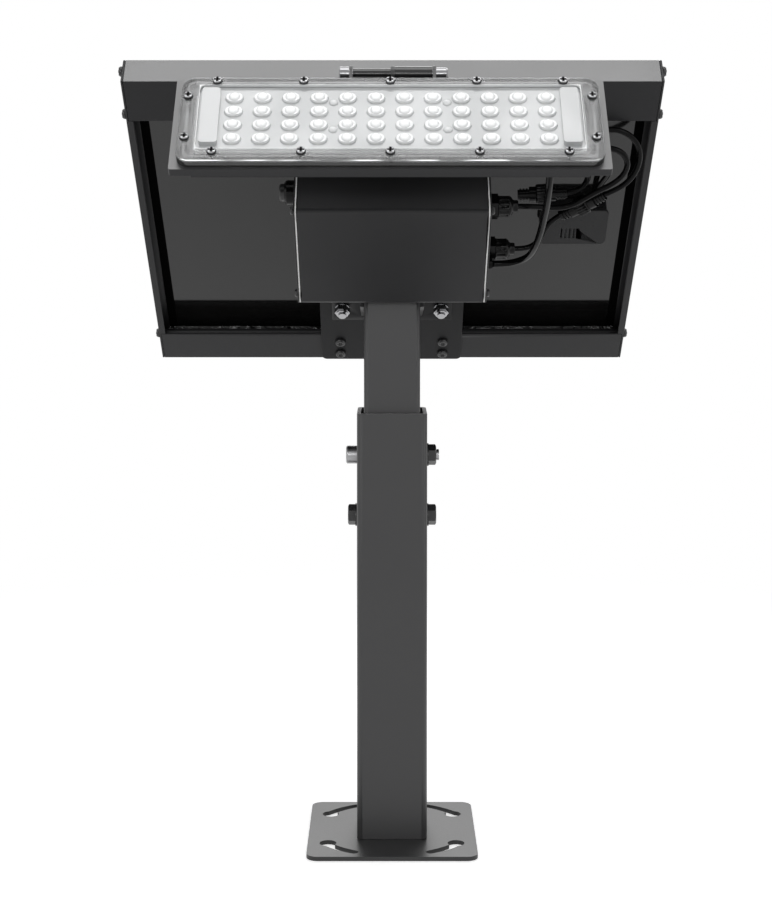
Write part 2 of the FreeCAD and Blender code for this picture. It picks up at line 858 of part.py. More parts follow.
def box_channel_places():
    dy = box_l / 2 - box_channel_inset
    dz = box_h / 2 - box_channel_inset
    return [(box_mid_y + sy * dy, box_mid_z + sz * dz) for sy in (-1, 1) for sz in (-1, 1)]


def box_body():
    half = box_body_half
    sleeve = box_section(half, 0, box_corner_r).cut(box_section(half, box_wall, box_corner_r / 2))
    channels = [rod(Vector(-half, y, z), X_AXIS, 2 * box_channel_r, 2 * half)
                for y, z in box_channel_places()]
    sleeve = fuse_all([sleeve] + channels).common(box_section(half, 0, box_corner_r))
    bores = [rod(Vector(-half, y, z), X_AXIS, box_screw_d + 0.1, 2 * half) for y, z in box_channel_places()]
    bores += [rod(Vector(p.x, p.y, box_back_z - 2 * box_wall), Z_AXIS, spine_screw_d + 0.1, 3 * box_wall)
              for p in box_mount_places()]
    return cut_all(sleeve, bores)


def box_end_outline(x0, thick):
    return rounded_x(box_l, box_h, box_corner_r, thick, Vector(x0, box_mid_y, box_mid_z))


def box_end_bores(x0, thick):
    d = box_screw_d + 2 * hole_gap
    return [rod(Vector(x0 - 1, y, z), X_AXIS, d, thick + 2) for y, z in box_channel_places()]


def box_end(sign, extra_bores):
    x0 = box_end_in if sign > 0 else -box_end_out
    plate = box_end_outline(x0, box_end_thick)
    tools = box_end_bores(x0, box_end_thick)
    tools += [rod(Vector(x0 - 1, y, z), X_AXIS, d, box_end_thick + 2) for y, z, d in extra_bores]
    return cut_all(plate, tools)


def box_gaskets():
    rings = []
    for x0 in (box_body_half, -box_body_half - box_gasket):
        ring = box_end_outline(x0, box_gasket)
        window = rounded_x(box_l - 2 * box_gasket_w, box_h - 2 * box_gasket_w, box_gasket_r, box_gasket,
                           Vector(x0, box_mid_y, box_mid_z))
        rings.append(cut_all(ring.cut(window), box_end_bores(x0, box_gasket)))
    return rings


def box_end_screws():
    return [dome_screw(Vector(sign * box_end_out, y, z), X_AXIS * sign, box_screw_d, box_screw_head_d,
                       box_screw_head_h, box_screw_l)
            for sign in (-1, 1) for y, z in box_channel_places()]


def battery_places():
    first_x = -(cell_count - 1) * cell_pitch / 2
    y0 = battery_y0
    z0 = box_back_z - box_wall - spine_screw_d - holder_wall - cell_d / 2
    return [Vector(first_x + i * cell_pitch, y0, z0 - layer * cell_pitch)
            for layer in range(cell_layers) for i in range(cell_count)]


def battery_cells():
    return [rod(p, Y_AXIS, cell_d, cell_l) for p in battery_places()]


def battery_holder():
    """Two trays that take the ends of the cells and rest on the walls of the box."""
    places = battery_places()
    trays = []
    z_low = box_front_z + box_wall
    z_high = max(p.z for p in places) + cell_d / 2 + holder_wall
    x_half = max(p.x for p in places) + cell_d / 2 + holder_wall
    y0 = battery_y0
    y1 = y0 + cell_l
    notch_d = 2 * (box_channel_r + holder_notch_gap)
    notches = [rod(Vector(-x_half, y, z), X_AXIS, notch_d, 2 * x_half) for y, z in box_channel_places()]
    for y_from, y_to in ((y0 - holder_wall, y0 + holder_h), (y1 - holder_h, y1 + holder_wall)):
        tray = block(-x_half, x_half, y_from, y_to, z_low, z_high)
        sockets = [rod(p, Y_AXIS, cell_d + 0.2, cell_l) for p in places]
        trays.append(cut_all(tray, sockets + notches))
    return trays


def controller_board():
    """Charge and lamp controller on four pillars, on the front wall of the box between the trays."""
    z0 = box_front_z + box_wall + board_pillar_h
    z1 = z0 + board_thick
    x_half = board_w / 2
    y_half = board_h / 2
    board = block(-x_half, x_half, box_mid_y - y_half, box_mid_y + y_half, z0, z1)
    pillar_x = x_half - board_pillar_inset
    pillar_y = y_half - board_pillar_inset
    pillars = [rod(Vector(sx * pillar_x, box_mid_y + sy * pillar_y, z0), -Z_AXIS, board_pillar_d,
                   board_pillar_h) for sx in (-1, 1) for sy in (-1, 1)]
    chips = [block(x - w / 2, x + w / 2, box_mid_y + y - l / 2, box_mid_y + y + l / 2, z1, z1 + board_chip_h)
             for x, y, w, l in board_chips]
    return fuse_all([board] + pillars + chips)


# Push-button with its bezel
def button_bezel():
    seat = Vector(-box_end_out, button_y, button_z)
    r = bezel_d / 2
    collar = turned([(0, 0), (0, r), (bezel_h - 1.5, r), (bezel_h, r - 1.5), (bezel_h, 0)], seat, -X_AXIS)
    barrel = rod(seat, X_AXIS, bezel_barrel_d, bezel_barrel_l)
    bore_start = seat - X_AXIS * (bezel_h + 1)
    bore = rod(bore_start, X_AXIS, button_d + 2 * button_gap, bezel_h + 1 + button_travel)
    return collar.fuse(barrel).cut(bore)


def power_button():
    """Cap that travels into the bezel."""
    face = Vector(-box_end_out - bezel_h - button_proud, button_y, button_z)
    length = bezel_h + button_proud - button_gap
    r = button_d / 2
    return turned([(0, 0), (0, r - 0.8), (0.8, r), (length, r), (length, 0)], face, X_AXIS)


def locknuts():
    seat = Vector(-box_end_in, button_y, button_z)
    nuts = [nut(seat, X_AXIS, locknut_across, locknut_h, bezel_barrel_d + 0.1)]
    for y in (gland_upper_y, gland_lower_y):
        nuts.append(nut(Vector(box_end_in, y, gland_z), -X_AXIS, gland_locknut_across, locknut_h,
                        gland_thread_d + 0.1))
    return nuts


# Cable glands and grommet
def cable_glands():
    glands = []
    for y in (gland_upper_y, gland_lower_y):
        seat = Vector(box_end_out, y, gland_z)
        body = hexagon(gland_across, gland_hex_h, seat, X_AXIS)
        body = body.fuse(rod(seat, -X_AXIS, gland_thread_d, gland_thread_l))
        glands.append(body.cut(rod(seat - X_AXIS * gland_thread_l, X_AXIS, lead_d + 1, 40)))
    return glands


def gland_domes():
    domes = []
    for y in (gland_upper_y, gland_lower_y):
        seat = Vector(box_end_out + gland_hex_h, y, gland_z)
        r = gland_dome_d / 2
        tip_r = gland_dome_tip_d / 2
        domes.append(turned([(0, 0), (0, r), (0.6 * gland_dome_h, r), (0.85 * gland_dome_h, 0.86 * r),
                             (gland_dome_h, tip_r), (gland_dome_h, 0)], seat, X_AXIS))
    return domes


def lamp_grommet():
    seat = Vector(box_end_out, grommet_y, grommet_z)
    tip_r = lamp_cable_d / 2 + grommet_lip
    flange = turned([(0, 0), (0, grommet_d / 2), (grommet_h, tip_r), (grommet_h, 0)], seat, X_AXIS)
    return flange.fuse(rod(seat, -X_AXIS, grommet_neck_d, box_end_thick))


# Leads on the back of the panel, as points in the head's frame
supply_points = [
    (gland_end_x, gland_lower_y, gland_z), (94, -9.7, -25), (101, -12.3, -23.2), (105.3, -18.2, -20.8),
    (107.9, -24.8, -18), (112.2, -29.6, -15.8), (118, -33.2, -14.2)]
panel_points = [
    (147, -53, -13.2), (154.5, -56.5, -12.2), (161.5, -62, -10.8), (166.5, -69.5, -9), (169, -78.5, -7),
    (168.5, -88, -5.5), (165, -97, -5), (158.5, -104.5, -5), (150, -109, -5.5), (140.8, -108.2, -6),
    (133.8, -102.3, -6), (131.4, -93.4, -5), (134.2, -84.7, -3), (140.5, -77.8, -0.5), (146.8, -70.8, 2),
    (151, -62.5, 4.5), (151.5, -53, 6.8), (149, -43.5, 9.6), (146.5, -35.5, 11.3),
    (junction_entry_x, -27.5, junction_entry_z),
    (junction_entry_x, junction_y0 - junction_entry_l, junction_entry_z)]
spare_points = [
    (gland_end_x, gland_upper_y, gland_z), (94.5, -53.8, -25), (102.5, -52, -24), (110.5, -49.5, -22.8),
    (119, -49, -21.5), (127, -52, -20.5), (134, -57.5, -19.8), (141, -63, -19.2), (148.5, -67.5, -18.6),
    (155, -73.5, -18), (159, -81.5, -17.5), (159, -90.5, -17), (154.5, -98.2, -16.5), (146.5, -102, -16),
    (137.8, -100, -15.5), (132.2, -93.2, -15), (131.5, -84.5, -14.2), (133.5, -76.5, -13.2),
    (134.3, -68.5, -12.6), (132.3, -60.8, -12.2), (127.5, -55.5, -12), (121, -53.5, -12)]
lamp_points = [
    (cable_exit_x, cable_exit_y, cable_exit_z), (cable_exit_x, -130, cable_exit_z),
    (100.4, -115, -71.5), (100.6, -98, -67.5), (100, -80, -63), (99, -63, -59.5), (97.5, -47, -55.5),
    (95.5, -33, -50.5), (91.5, -22, -45.5), (84.5, -15.2, -42.6), (76.5, -13, -42),
    (box_end_out + grommet_h, grommet_y, grommet_z)]


# Inline connectors: a ribbed tail, a body and a knurled coupling ring on one axis
def tail_profile(body_h):
    """Tail with three ribs up to the body, as (height, radius) points from the lead's end."""
    points = [(0, 0), (0, tail_d / 2)]
    for i in range(3):
        low = 1.4 + i * rib_step
        points += [(low, tail_d / 2), (low, rib_d / 2), (low + rib_w, rib_d / 2), (low + rib_w, tail_d / 2)]
    points += [(tail_l, tail_d / 2), (tail_l, connector_d / 2), (body_h, connector_d / 2), (body_h, 0)]
    return points


def inline_connector(start, end):
    """Plug, ring and socket that meet between two lead ends."""
    axis = (end - start).normalize()
    length = (end - start).Length
    ring_start = start + axis * ((length - ring_l) / 2)
    plug = turned(tail_profile((length - ring_l) / 2), start, axis)
    socket = turned(tail_profile((length - ring_l) / 2), end, -axis)
    r = ring_d / 2
    ring = turned([(0, 0), (0, r - 0.8), (0.8, r), (ring_l - 0.8, r), (ring_l, r - 0.8), (ring_l, 0)],
                  ring_start, axis)
    return plug, ring, socket


# Lamp: finned housing, light engine, moulded lens cover
def lamp_plate(w, h, r, y0, depth):
    return rounded_y(w, h, r, depth, Vector(lamp_shift_x, y0, lamp_mid_z))


def lens_screw_places():
    rows = [(column * lens_screw_pitch_x, z) for column in range(-2, 3) for z in lens_screw_rows]
    ends = [(sx * lens_screw_end_x, z) for sx in (-1, 1) for z in lens_screw_end_rows]
    return [Vector(lamp_shift_x + x, cover_face_y, lamp_mid_z + z) for x, z in rows + ends]


def lamp_gasket():
    outer_w = pocket_w + 2 * (gasket_in + gasket_w)
    outer_h = pocket_h + 2 * (gasket_in + gasket_w)
    outer = lamp_plate(outer_w, outer_h, pocket_r + gasket_in + gasket_w, lamp_face_y, gasket_deep)
    inner_w = outer_w - 2 * gasket_w
    inner_h = outer_h - 2 * gasket_w
    inner = lamp_plate(inner_w, inner_h, pocket_r + gasket_in, lamp_face_y, gasket_deep)
    return outer.cut(inner)


def lamp_housing():
    body = lamp_plate(lamp_w, lamp_h, lamp_corner_r, lamp_face_y, lamp_rim)
    fin_step = (fin_span - fin_thick) / (fin_count - 1)
    fins = []
    for i in range(fin_count):
        z0 = fin_mid_z - fin_span / 2 + i * fin_step
        fin = block(lamp_shift_x - fin_l / 2, lamp_shift_x + fin_l / 2, lamp_back_y, lamp_back_y + fin_h,
                    z0, z0 + fin_thick)
        fins.append(fin.cut(cable_box_space(0.5)))
    solid = fuse_all([body] + fins)
    solid = solid.cut(lamp_plate(pocket_w, pocket_h, pocket_r, lamp_face_y, pocket_deep)).cut(lamp_gasket())
    holes = [rod(p, Y_AXIS, lens_screw_d + 0.1, lens_screw_l + 0.5)
             for p in lens_screw_places()]
    holes += board_screw_bores()
    bite = bracket_screw_bite
    holes += [rod(p - Y_AXIS * (bite + 0.5), Y_AXIS, box_screw_d + 0.1, bite + 1)
              for p in lamp_bracket_screw_places()]
    return cut_all(solid, holes)


def cable_box_space(margin):
    x0 = cable_box_x0 - margin
    x1 = cable_box_x0 + cable_box_w + margin
    z1 = cable_box_z0 + margin
    z0 = cable_box_z0 - cable_box_h - margin
    return block(x0, x1, lamp_back_y, lamp_back_y + cable_box_deep + 2, z0, z1)


def lamp_cable_box():
    mid = Vector(cable_box_x0 + cable_box_w / 2, lamp_back_y, cable_box_z0 - cable_box_h / 2)
    return rounded_y(cable_box_w, cable_box_h, cable_box_r, cable_box_deep, mid)


def led_places():
    first_x = lamp_shift_x - (led_columns - 1) * led_pitch_x / 2
    first_z = lamp_mid_z + led_shift_z - (led_rows - 1) * led_pitch_z / 2
    return [(first_x + i * led_pitch_x, first_z + j * led_pitch_z)
            for i in range(led_columns) for j in range(led_rows)]


def led_board():
    y0 = lamp_face_y + pocket_deep - led_board_thick
    board = lamp_plate(pocket_w - 1, pocket_h - 1, pocket_r - 0.5, y0, led_board_thick)
    return cut_all(board, board_screw_bores())


def led_chips():
    y1 = lamp_face_y + pocket_deep - led_board_thick
    half = led_size / 2
    return [block(x - half, x + half, y1 - led_h, y1, z - half, z + half) for x, z in led_places()]


def board_screw_places():
    """Between four lenses, near the middle of the board."""
    y = lamp_face_y + pocket_deep - led_board_thick
    mid_z = lamp_mid_z + led_shift_z + board_screw_shift_z
    return [Vector(lamp_shift_x + sx * 2 * led_pitch_x, y, mid_z + sz * led_pitch_z)
            for sx in (-1, 1) for sz in (-1, 1)]


def board_screw_bores():
    return [rod(p, Y_AXIS, lens_screw_d + 0.1, led_board_thick + board_screw_bite + 0.2)
            for p in board_screw_places()]


def board_screws():
    length = led_board_thick + board_screw_bite
    return [dome_screw(p, -Y_AXIS, lens_screw_d, board_screw_head_d, board_screw_head_h, length)
            for p in board_screw_places()]


def wire_covers():
    y1 = lamp_face_y + pocket_deep - led_board_thick
    y0 = window_y - hood_rise + cover_skin
    covers = []
    for sign in (-1, 1):
        x = lamp_shift_x + sign * hood_x
        covers.append(block(x - wire_cover_w / 2, x + wire_cover_w / 2, y0, y1,
                            hood_mid_z - wire_cover_h / 2, hood_mid_z + wire_cover_h / 2))
    return covers


def stadium(w, h, x, y, z):
    """Flat-sided oval wire in a plane square to y."""
    r = h / 2
    dx = w / 2 - r
    a = Vector(x - dx, y, z - r)
    b = Vector(x + dx, y, z - r)
    c = Vector(x + dx, y, z + r)
    d = Vector(x - dx, y, z + r)
    edges = [Part.LineSegment(a, b).toShape(), Part.Arc(b, Vector(x + w / 2, y, z), c).toShape(),
             Part.LineSegment(c, d).toShape(), Part.Arc(d, Vector(x - w / 2, y, z), a).toShape()]
    return Part.Wire(edges)


def clear_dome(d, rise, x, y, z):
    """Cap of a sphere, d wide, that rises towards the front from a plane at y."""
    sphere_r = (d ** 2 / 4 + rise ** 2) / (2 * rise)
    latitude = math.degrees(math.asin((sphere_r - rise) / sphere_r))
    return Part.makeSphere(sphere_r, Vector(x, y + sphere_r - rise, z), -Y_AXIS, latitude, 90)


def lens(x, z):
    """One lens of the cover: a low oval shoulder with a round dome in the middle."""
    shoulder_y = window_y - lens_shoulder_rise
    foot = stadium(lens_w, lens_h, x, window_y, z)
    shoulder = stadium(lens_w - 2 * lens_shoulder_in, lens_h - 2 * lens_shoulder_in, x, shoulder_y, z)
    base = Part.makeLoft([foot, shoulder], True, True)
    return base.fuse(clear_dome(lens_dome_d, lens_rise - lens_shoulder_rise, x, shoulder_y, z))


def lens_cover():
    """Clear moulded cover: thick flange, thin window with one lens per chip, two hoods over wire ends."""
    cover_place = Vector(lamp_shift_x, cover_face_y, cover_mid_z)
    plate = rounded_y(cover_w, cover_h, cover_r, cover_flange, cover_place)
    recess_mid_z = lamp_mid_z + (recess_top - recess_low) / 2
    recess = rounded_y(recess_w, recess_top + recess_low, pocket_r, cover_recess,
                       Vector(lamp_shift_x, cover_face_y, recess_mid_z))
    hollow_y = window_y + cover_skin
    hollow = lamp_plate(pocket_w, pocket_h, pocket_r, hollow_y, lamp_face_y - hollow_y)
    solid = plate.cut(recess).cut(hollow)
    for sign in (-1, 1):
        mid = Vector(lamp_shift_x + sign * hood_x, window_y - hood_rise, hood_mid_z)
        solid = solid.fuse(rounded_y(hood_w, hood_h, 2, hood_rise, mid))
        inside = Vector(mid.x, mid.y + cover_skin - 0.1, mid.z)
        solid = solid.cut(rounded_y(wire_cover_w + 0.4, wire_cover_h + 0.4, 0.5, hood_rise + 0.2, inside))
    domes = [lens(x, z) for x, z in led_places()]
    domes += [clear_dome(pip_d, pip_rise, p.x, window_y, p.z) for p in board_screw_places()]
    solid = fuse_all([solid] + domes)
    hole_d = lens_screw_d + 2 * hole_gap
    holes = [rod(p - Y_AXIS, Y_AXIS, hole_d, cover_flange + 2) for p in lens_screw_places()]
    return cut_all(solid, holes)


def lens_screws():
    return [dome_screw(p, -Y_AXIS, lens_screw_d, lens_screw_head_d, lens_screw_head_h, lens_screw_l)
            for p in lens_screw_places()]


# Hinge between the panel's upper rail and the lamp
def pivot_plate(x0, x1, foot, r):
    """Plate square to x: a round end on the hinge axis joined to a foot given by two (y, z) corners."""
    centre = Vector(x0, hinge_y, hinge_z)
    end = rod(centre, X_AXIS, 2 * r, x1 - x0)
    sides = []
    for y, z in foot:
        reach = Vector(0, y - hinge_y, z - hinge_z)
        across = X_AXIS.cross(reach).normalize() * r
        sides.append((reach, across))
    (reach_a, across_a), (reach_b, across_b) = sides
    corners = [(hinge_y + across_a.y, hinge_z + across_a.z), (foot[0][0], foot[0][1]),
               (foot[1][0], foot[1][1]), (hinge_y - across_b.y, hinge_z - across_b.z)]
    return end.fuse(prism_x(corners, x0, x1))


def lamp_bracket_screw_places():
    z = lamp_mid_z + lamp_h / 2 - ear_foot_h / 2 - 1
    return [Vector(lamp_shift_x + sx * 14, lamp_back_y, z) for sx in (-1, 1)]


def lamp_bracket():
    """Bent sheet on the lamp's back with two ears up to the hinge bolt."""
    top_z = lamp_mid_z + lamp_h / 2 - 1
    low_z = top_z - ear_foot_h
    out = ear_x + ear_thick
    foot = block(-out, out, lamp_back_y, lamp_back_y + ear_thick, low_z, top_z)
    back_y = lamp_back_y + ear_thick
    ears = []
    for x0 in (-out, ear_x):
        ears.append(pivot_plate(x0, x0 + ear_thick, [(back_y, low_z), (lamp_back_y, low_z)], ear_r))
    solid = fuse_all([foot] + ears)
    solid = solid.cut(block(-2 * out, 2 * out, lamp_face_y - 20, lamp_back_y, 2 * lamp_mid_z, top_z + 1))
    bolt = rod(Vector(-2 * out, hinge_y, hinge_z), X_AXIS, hinge_bolt_d + 2 * pivot_gap, 4 * out)
    hole_d = box_screw_d + 2 * hole_gap
    holes = [rod(p - Y_AXIS, Y_AXIS, hole_d, ear_thick + 2) for p in lamp_bracket_screw_places()]
    return cut_all(solid, [bolt] + holes)


def lamp_bracket_screws():
    length = ear_thick + bracket_screw_bite
    return [dome_screw(p + Y_AXIS * ear_thick, Y_AXIS, box_screw_d, box_screw_head_d, box_screw_head_h,
                       length) for p in lamp_bracket_screw_places()]


def hinge_bracket():
    """Plate on the spine with one lug that carries the hinge bolt between the lamp's ears."""
    z1 = spine_face_z
    z0 = z1 - hinge_flange_t
    flange = block(-hinge_flange_w / 2, hinge_flange_w / 2, hinge_flange_y0, hinge_flange_y1, z0, z1)
    lug_foot = [(hinge_flange_y0, z1), (hinge_flange_y1 - lug_short, z0)]
    lug = pivot_plate(-lug_thick / 2, lug_thick / 2, lug_foot, lug_r)
    lug = lug.cut(block(-lug_thick, lug_thick, -half_panel_l, 0, z1, 4 * panel_depth))
    solid = fuse_all([flange, lug])
    hole_d = spine_screw_d + 2 * hole_gap
    holes = [rod(p - Z_AXIS, Z_AXIS, hole_d, hinge_flange_t + 2) for p in hinge_screw_places()]
    bolt = rod(Vector(-lug_thick, hinge_y, hinge_z), X_AXIS, hinge_bolt_d + 0.1, 2 * lug_thick)
    return cut_all(solid, holes + [bolt])


def hinge_bolt():
    seat = Vector(-ear_x - ear_thick - slide_gap, hinge_y, hinge_z)
    r = hinge_head_d / 2
    head_profile = [(0, 0), (0, r), (hinge_head_h - 0.8, r), (hinge_head_h, r - 0.8), (hinge_head_h, 0)]
    cap = turned(head_profile, seat, -X_AXIS)
    length = 2 * (ear_x + ear_thick + slide_gap) + hinge_nut_h - 1.5
    return cap.fuse(rod(seat, X_AXIS, hinge_bolt_d, length))


def hinge_spacers():
    """Thin bush and thicker spacer that keep the lug midway between the ears."""
    bore_d = hinge_bolt_d + 0.1
    length = ear_x - slide_gap - lug_thick / 2
    left = washer(Vector(-ear_x + slide_gap, hinge_y, hinge_z), X_AXIS, bush_d, bore_d, length)
    right = washer(Vector(lug_thick / 2, hinge_y, hinge_z), X_AXIS, spacer_d, bore_d, length)
    return left, right


def hinge_nut():
    seat = Vector(ear_x + ear_thick + slide_gap, hinge_y, hinge_z)
    r = hinge_nut_d / 2
    profile = [(0, 0), (0, r), (hinge_nut_h - 1, r), (hinge_nut_h, r - 1), (hinge_nut_h, 0)]
    barrel = turned(profile, seat, X_AXIS)
    return barrel.cut(rod(seat, X_AXIS, hinge_bolt_d + 0.1, hinge_nut_h - 1.4))


def build():
    save("base_plate", base_plate())
    save("outer_post", outer_post())
    save("upper_post_bolt", upper_post_bolt())
    save("lower_post_bolt", lower_post_bolt())
    save("post_nuts", *post_nuts())
    save("inner_post", inner_post())

    top_rail = end_rail(-1, top_lip_w, end_rail_channels(top_lip_w))
    bottom_rail = end_rail(1, bottom_lip_w, end_rail_channels(bottom_lip_w)[1:])
    places = spine_screw_places()
    save_head("top_rail", cut_all(top_rail, lip_bores([p for p in places if p.y < 0] + hinge_screw_places())))
    save_head("bottom_rail", cut_all(bottom_rail, lip_bores([p for p in places if p.y > 0])))
    save_head("left_rail", side_rail(-1))
    save_head("right_rail", side_rail(1))
    save_head("frame_screws", *frame_screws())
    save_head("backsheet", laminate_layer(laminate_z0, backsheet_thick))
    save_head("solar_cells", *solar_cells())
    save_head("panel_glass", laminate_layer(panel_depth - rail_cap - glass_thick, glass_thick))
    save_head("sealant_bead", sealant_bead())
    save_head("junction_box", junction_box())
    save_head("junction_lid", junction_lid())

    save_head("spine_plate", spine_plate())
    save_head("yoke_bracket", yoke_bracket())
    save_head("yoke_bolts", *yoke_bolts())
    save_head("yoke_nuts", *yoke_nuts())
    save_head("yoke_washers", *yoke_washers())
    save_head("spine_screws", *spine_screws())

    left_bores = [(button_y, button_z, bezel_barrel_d + 2 * hole_gap)]
    right_bores = [(y, gland_z, gland_thread_d + 2 * hole_gap) for y in (gland_upper_y, gland_lower_y)]
    right_bores.append((grommet_y, grommet_z, grommet_neck_d + 0.1))
    save_head("box_body", box_body())
    save_head("box_end_left", box_end(-1, left_bores))
    save_head("box_end_right", box_end(1, right_bores))
    save_head("box_gaskets", *box_gaskets())
    save_head("box_end_screws", *box_end_screws())
    save_head("battery_cells", *battery_cells())
    save_head("battery_holder", *battery_holder())
    save_head("controller_board", controller_board())
    save_head("button_bezel", button_bezel())
    save_head("power_button", power_button())
    save_head("locknuts", *locknuts())
    save_head("cable_glands", *cable_glands())
    save_head("gland_domes", *gland_domes())
    save_head("lamp_grommet", lamp_grommet())

    save_head("supply_lead", cable("supply_lead", supply_points, lead_d))
    save_head("panel_lead", cable("panel_lead", panel_points, lead_d))
    save_head("spare_lead", cable("spare_lead", spare_points, lead_d))
    save_head("lamp_cable", cable("lamp_cable", lamp_points, lamp_cable_d))
    plug, ring, socket = inline_connector(Vector(*supply_points[-1]), Vector(*panel_points[0]))
    spare_end = Vector(*spare_points[-1])
    spare_plug, spare_ring, spare_cap = inline_connector(spare_end, spare_end + spare_reach)
    save_head("connector_plugs", plug, spare_plug)
    save_head("connector_rings", ring, spare_ring)
    save_head("connector_socket", socket)
    save_head("connector_cap", spare_cap)

    save_head("lamp_housing", lamp_housing())
    save_head("lamp_gasket", lamp_gasket())
    save_head("led_board", led_board())
    save_head("led_chips", *led_chips())
    save_head("board_screws", *board_screws())
    save_head("wire_covers", *wire_covers())
    save_head("lens_cover", lens_cover())
    save_head("lens_screws", *lens_screws())
    save_head("lamp_cable_box", lamp_cable_box())
    save_head("lamp_bracket", lamp_bracket())
    save_head("lamp_bracket_screws", *lamp_bracket_screws())
    save_head("hinge_bracket", hinge_bracket())
    save_head("hinge_bolt", hinge_bolt())
    save_head("hinge_spacers", *hinge_spacers())
    save_head("hinge_nut", hinge_nut())


build()
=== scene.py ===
"""Looks of the solar sign light: finishes, leads and small detail around the fixed frame.

Metres, +Z up, -Y towards the camera. Sizes that belong to the tilted head are given in its own frame, in
millimetres: x as in the part, y down the slope of the panel, z square to the panel towards the sun.
"""

import math

import bmesh
import bpy
from mathutils import Matrix, Vector


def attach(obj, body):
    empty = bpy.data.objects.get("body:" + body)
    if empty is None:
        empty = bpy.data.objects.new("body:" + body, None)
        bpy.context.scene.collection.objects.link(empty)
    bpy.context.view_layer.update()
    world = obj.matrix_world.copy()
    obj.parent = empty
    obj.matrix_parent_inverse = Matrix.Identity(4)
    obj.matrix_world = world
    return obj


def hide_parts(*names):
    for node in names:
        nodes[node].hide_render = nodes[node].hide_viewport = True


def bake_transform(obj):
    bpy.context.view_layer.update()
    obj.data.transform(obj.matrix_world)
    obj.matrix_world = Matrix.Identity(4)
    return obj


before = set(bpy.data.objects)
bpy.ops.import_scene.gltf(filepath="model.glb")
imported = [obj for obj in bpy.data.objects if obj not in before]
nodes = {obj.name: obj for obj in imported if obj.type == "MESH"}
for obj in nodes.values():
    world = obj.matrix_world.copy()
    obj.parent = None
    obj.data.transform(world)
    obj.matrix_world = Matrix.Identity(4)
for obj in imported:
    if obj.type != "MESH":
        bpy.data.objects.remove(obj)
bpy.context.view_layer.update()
scene = bpy.context.scene

MM = 0.001
TILT = math.radians(42)
HEAD_HEIGHT = 0.437
HEAD_TURN = Matrix.Rotation(-TILT, 4, "X")
HEAD = Matrix.Translation((0, 0, HEAD_HEIGHT)) @ HEAD_TURN

# Directions of the head's frame in the part's frame
SUNWARD = (HEAD_TURN @ Vector((0, 0, 1))).normalized()
DOWN_SLOPE = (HEAD_TURN @ Vector((0, 1, 0))).normalized()
ACROSS = Vector((1, 0, 0))

# Sizes in the head's frame, mm, that the finishes follow
LAMP_SHIFT_X = -1.6
PANEL_W = 358.0
PANEL_L = 295.0
COVER_W = 264.0
COVER_H = 74.0
COVER_MID_Z = -60.3
COVER_R = 8.0
COVER_FACE_Y = -172.9
WINDOW_W = 241.0
WINDOW_H = 56.0
WINDOW_MID_Z = -58.0
WINDOW_Y = -170.5
HOOD_X = 113.0
HOOD_W = 11.5
LENS_RISE = 4.0
LENS_PITCH_X = 17.9
LENS_PITCH_Z = 12.05
LENS_MID_Z = -58.2
LENS_FIELD_X = 106.0
LENS_FIELD_Z = 23.5

# Leads, as points in the head's frame
SUPPLY_ROUTE = [
    (86.5, -9.7, -25), (94, -9.7, -25), (101, -12.3, -23.2), (105.3, -18.2, -20.8),
    (107.9, -24.8, -18), (112.2, -29.6, -15.8), (118, -33.2, -14.2)]
PANEL_ROUTE = [
    (147, -53, -13.2), (154.5, -56.5, -12.2), (161.5, -62, -10.8), (166.5, -69.5, -9), (169, -78.5, -7),
    (168.5, -88, -5.5), (165, -97, -5), (158.5, -104.5, -5), (150, -109, -5.5), (140.8, -108.2, -6),
    (133.8, -102.3, -6), (131.4, -93.4, -5), (134.2, -84.7, -3), (140.5, -77.8, -0.5), (146.8, -70.8, 2),
    (151, -62.5, 4.5), (151.5, -53, 6.8), (149, -43.5, 9.6), (146.5, -35.5, 11.3), (145.7, -27.5, 11.9),
    (145.7, -21, 11.9)]
SPARE_ROUTE = [
    (86.5, -53.8, -25), (94.5, -53.8, -25), (102.5, -52, -24), (110.5, -49.5, -22.8),
    (119, -49, -21.5), (127, -52, -20.5), (134, -57.5, -19.8), (141, -63, -19.2), (148.5, -67.5, -18.6),
    (155, -73.5, -18), (159, -81.5, -17.5), (159, -90.5, -17), (154.5, -98.2, -16.5), (146.5, -102, -16),
    (137.8, -100, -15.5), (132.2, -93.2, -15), (131.5, -84.5, -14.2), (133.5, -76.5, -13.2),
    (134.3, -68.5, -12.6), (132.3, -60.8, -12.2), (127.5, -55.5, -12), (121, -53.5, -12)]
SPARE_REACH = (-34, 2.2, 0)
LAMP_ROUTE = [
    (100, -144.5, -74), (100, -130, -74), (100.4, -115, -71.5), (100.6, -98, -67.5), (100, -80, -63),
    (99, -63, -59.5), (97.5, -47, -55.5), (95.5, -33, -50.5), (91.5, -22, -45.5), (84.5, -15.2, -42.6),
    (76.5, -13, -42), (70, -13, -42)]
LEAD_D = 4.0
LAMP_CABLE_D = 4.8

# Solar cells, in metres: spacing of the silver bars and of the fine fingers between them
BUSBAR_PITCH = 0.0205
FINGER_PITCH = 0.0019

# Glass and clear plastic
GLASS_IOR = 1.52

# Meshes: points closer than this are one, and edges that bend less than this are smooth
TOUCHING = 0.000002
SMOOTH_BELOW = math.radians(38)
FAN = [math.radians(10 * i) for i in range(36)]

# Recess layer of the screws: painted shade, how dark the side of a head and the floor of its recess are
# painted
SIDE_SHADE = 0.8
RECESS_SHADE = 1.0
FLUTE_DEPTH = 0.0006

# Light that the surround gives to matt surfaces, and the white that is seen
SOFT_FILL = 0.35
WHITE = 1.0

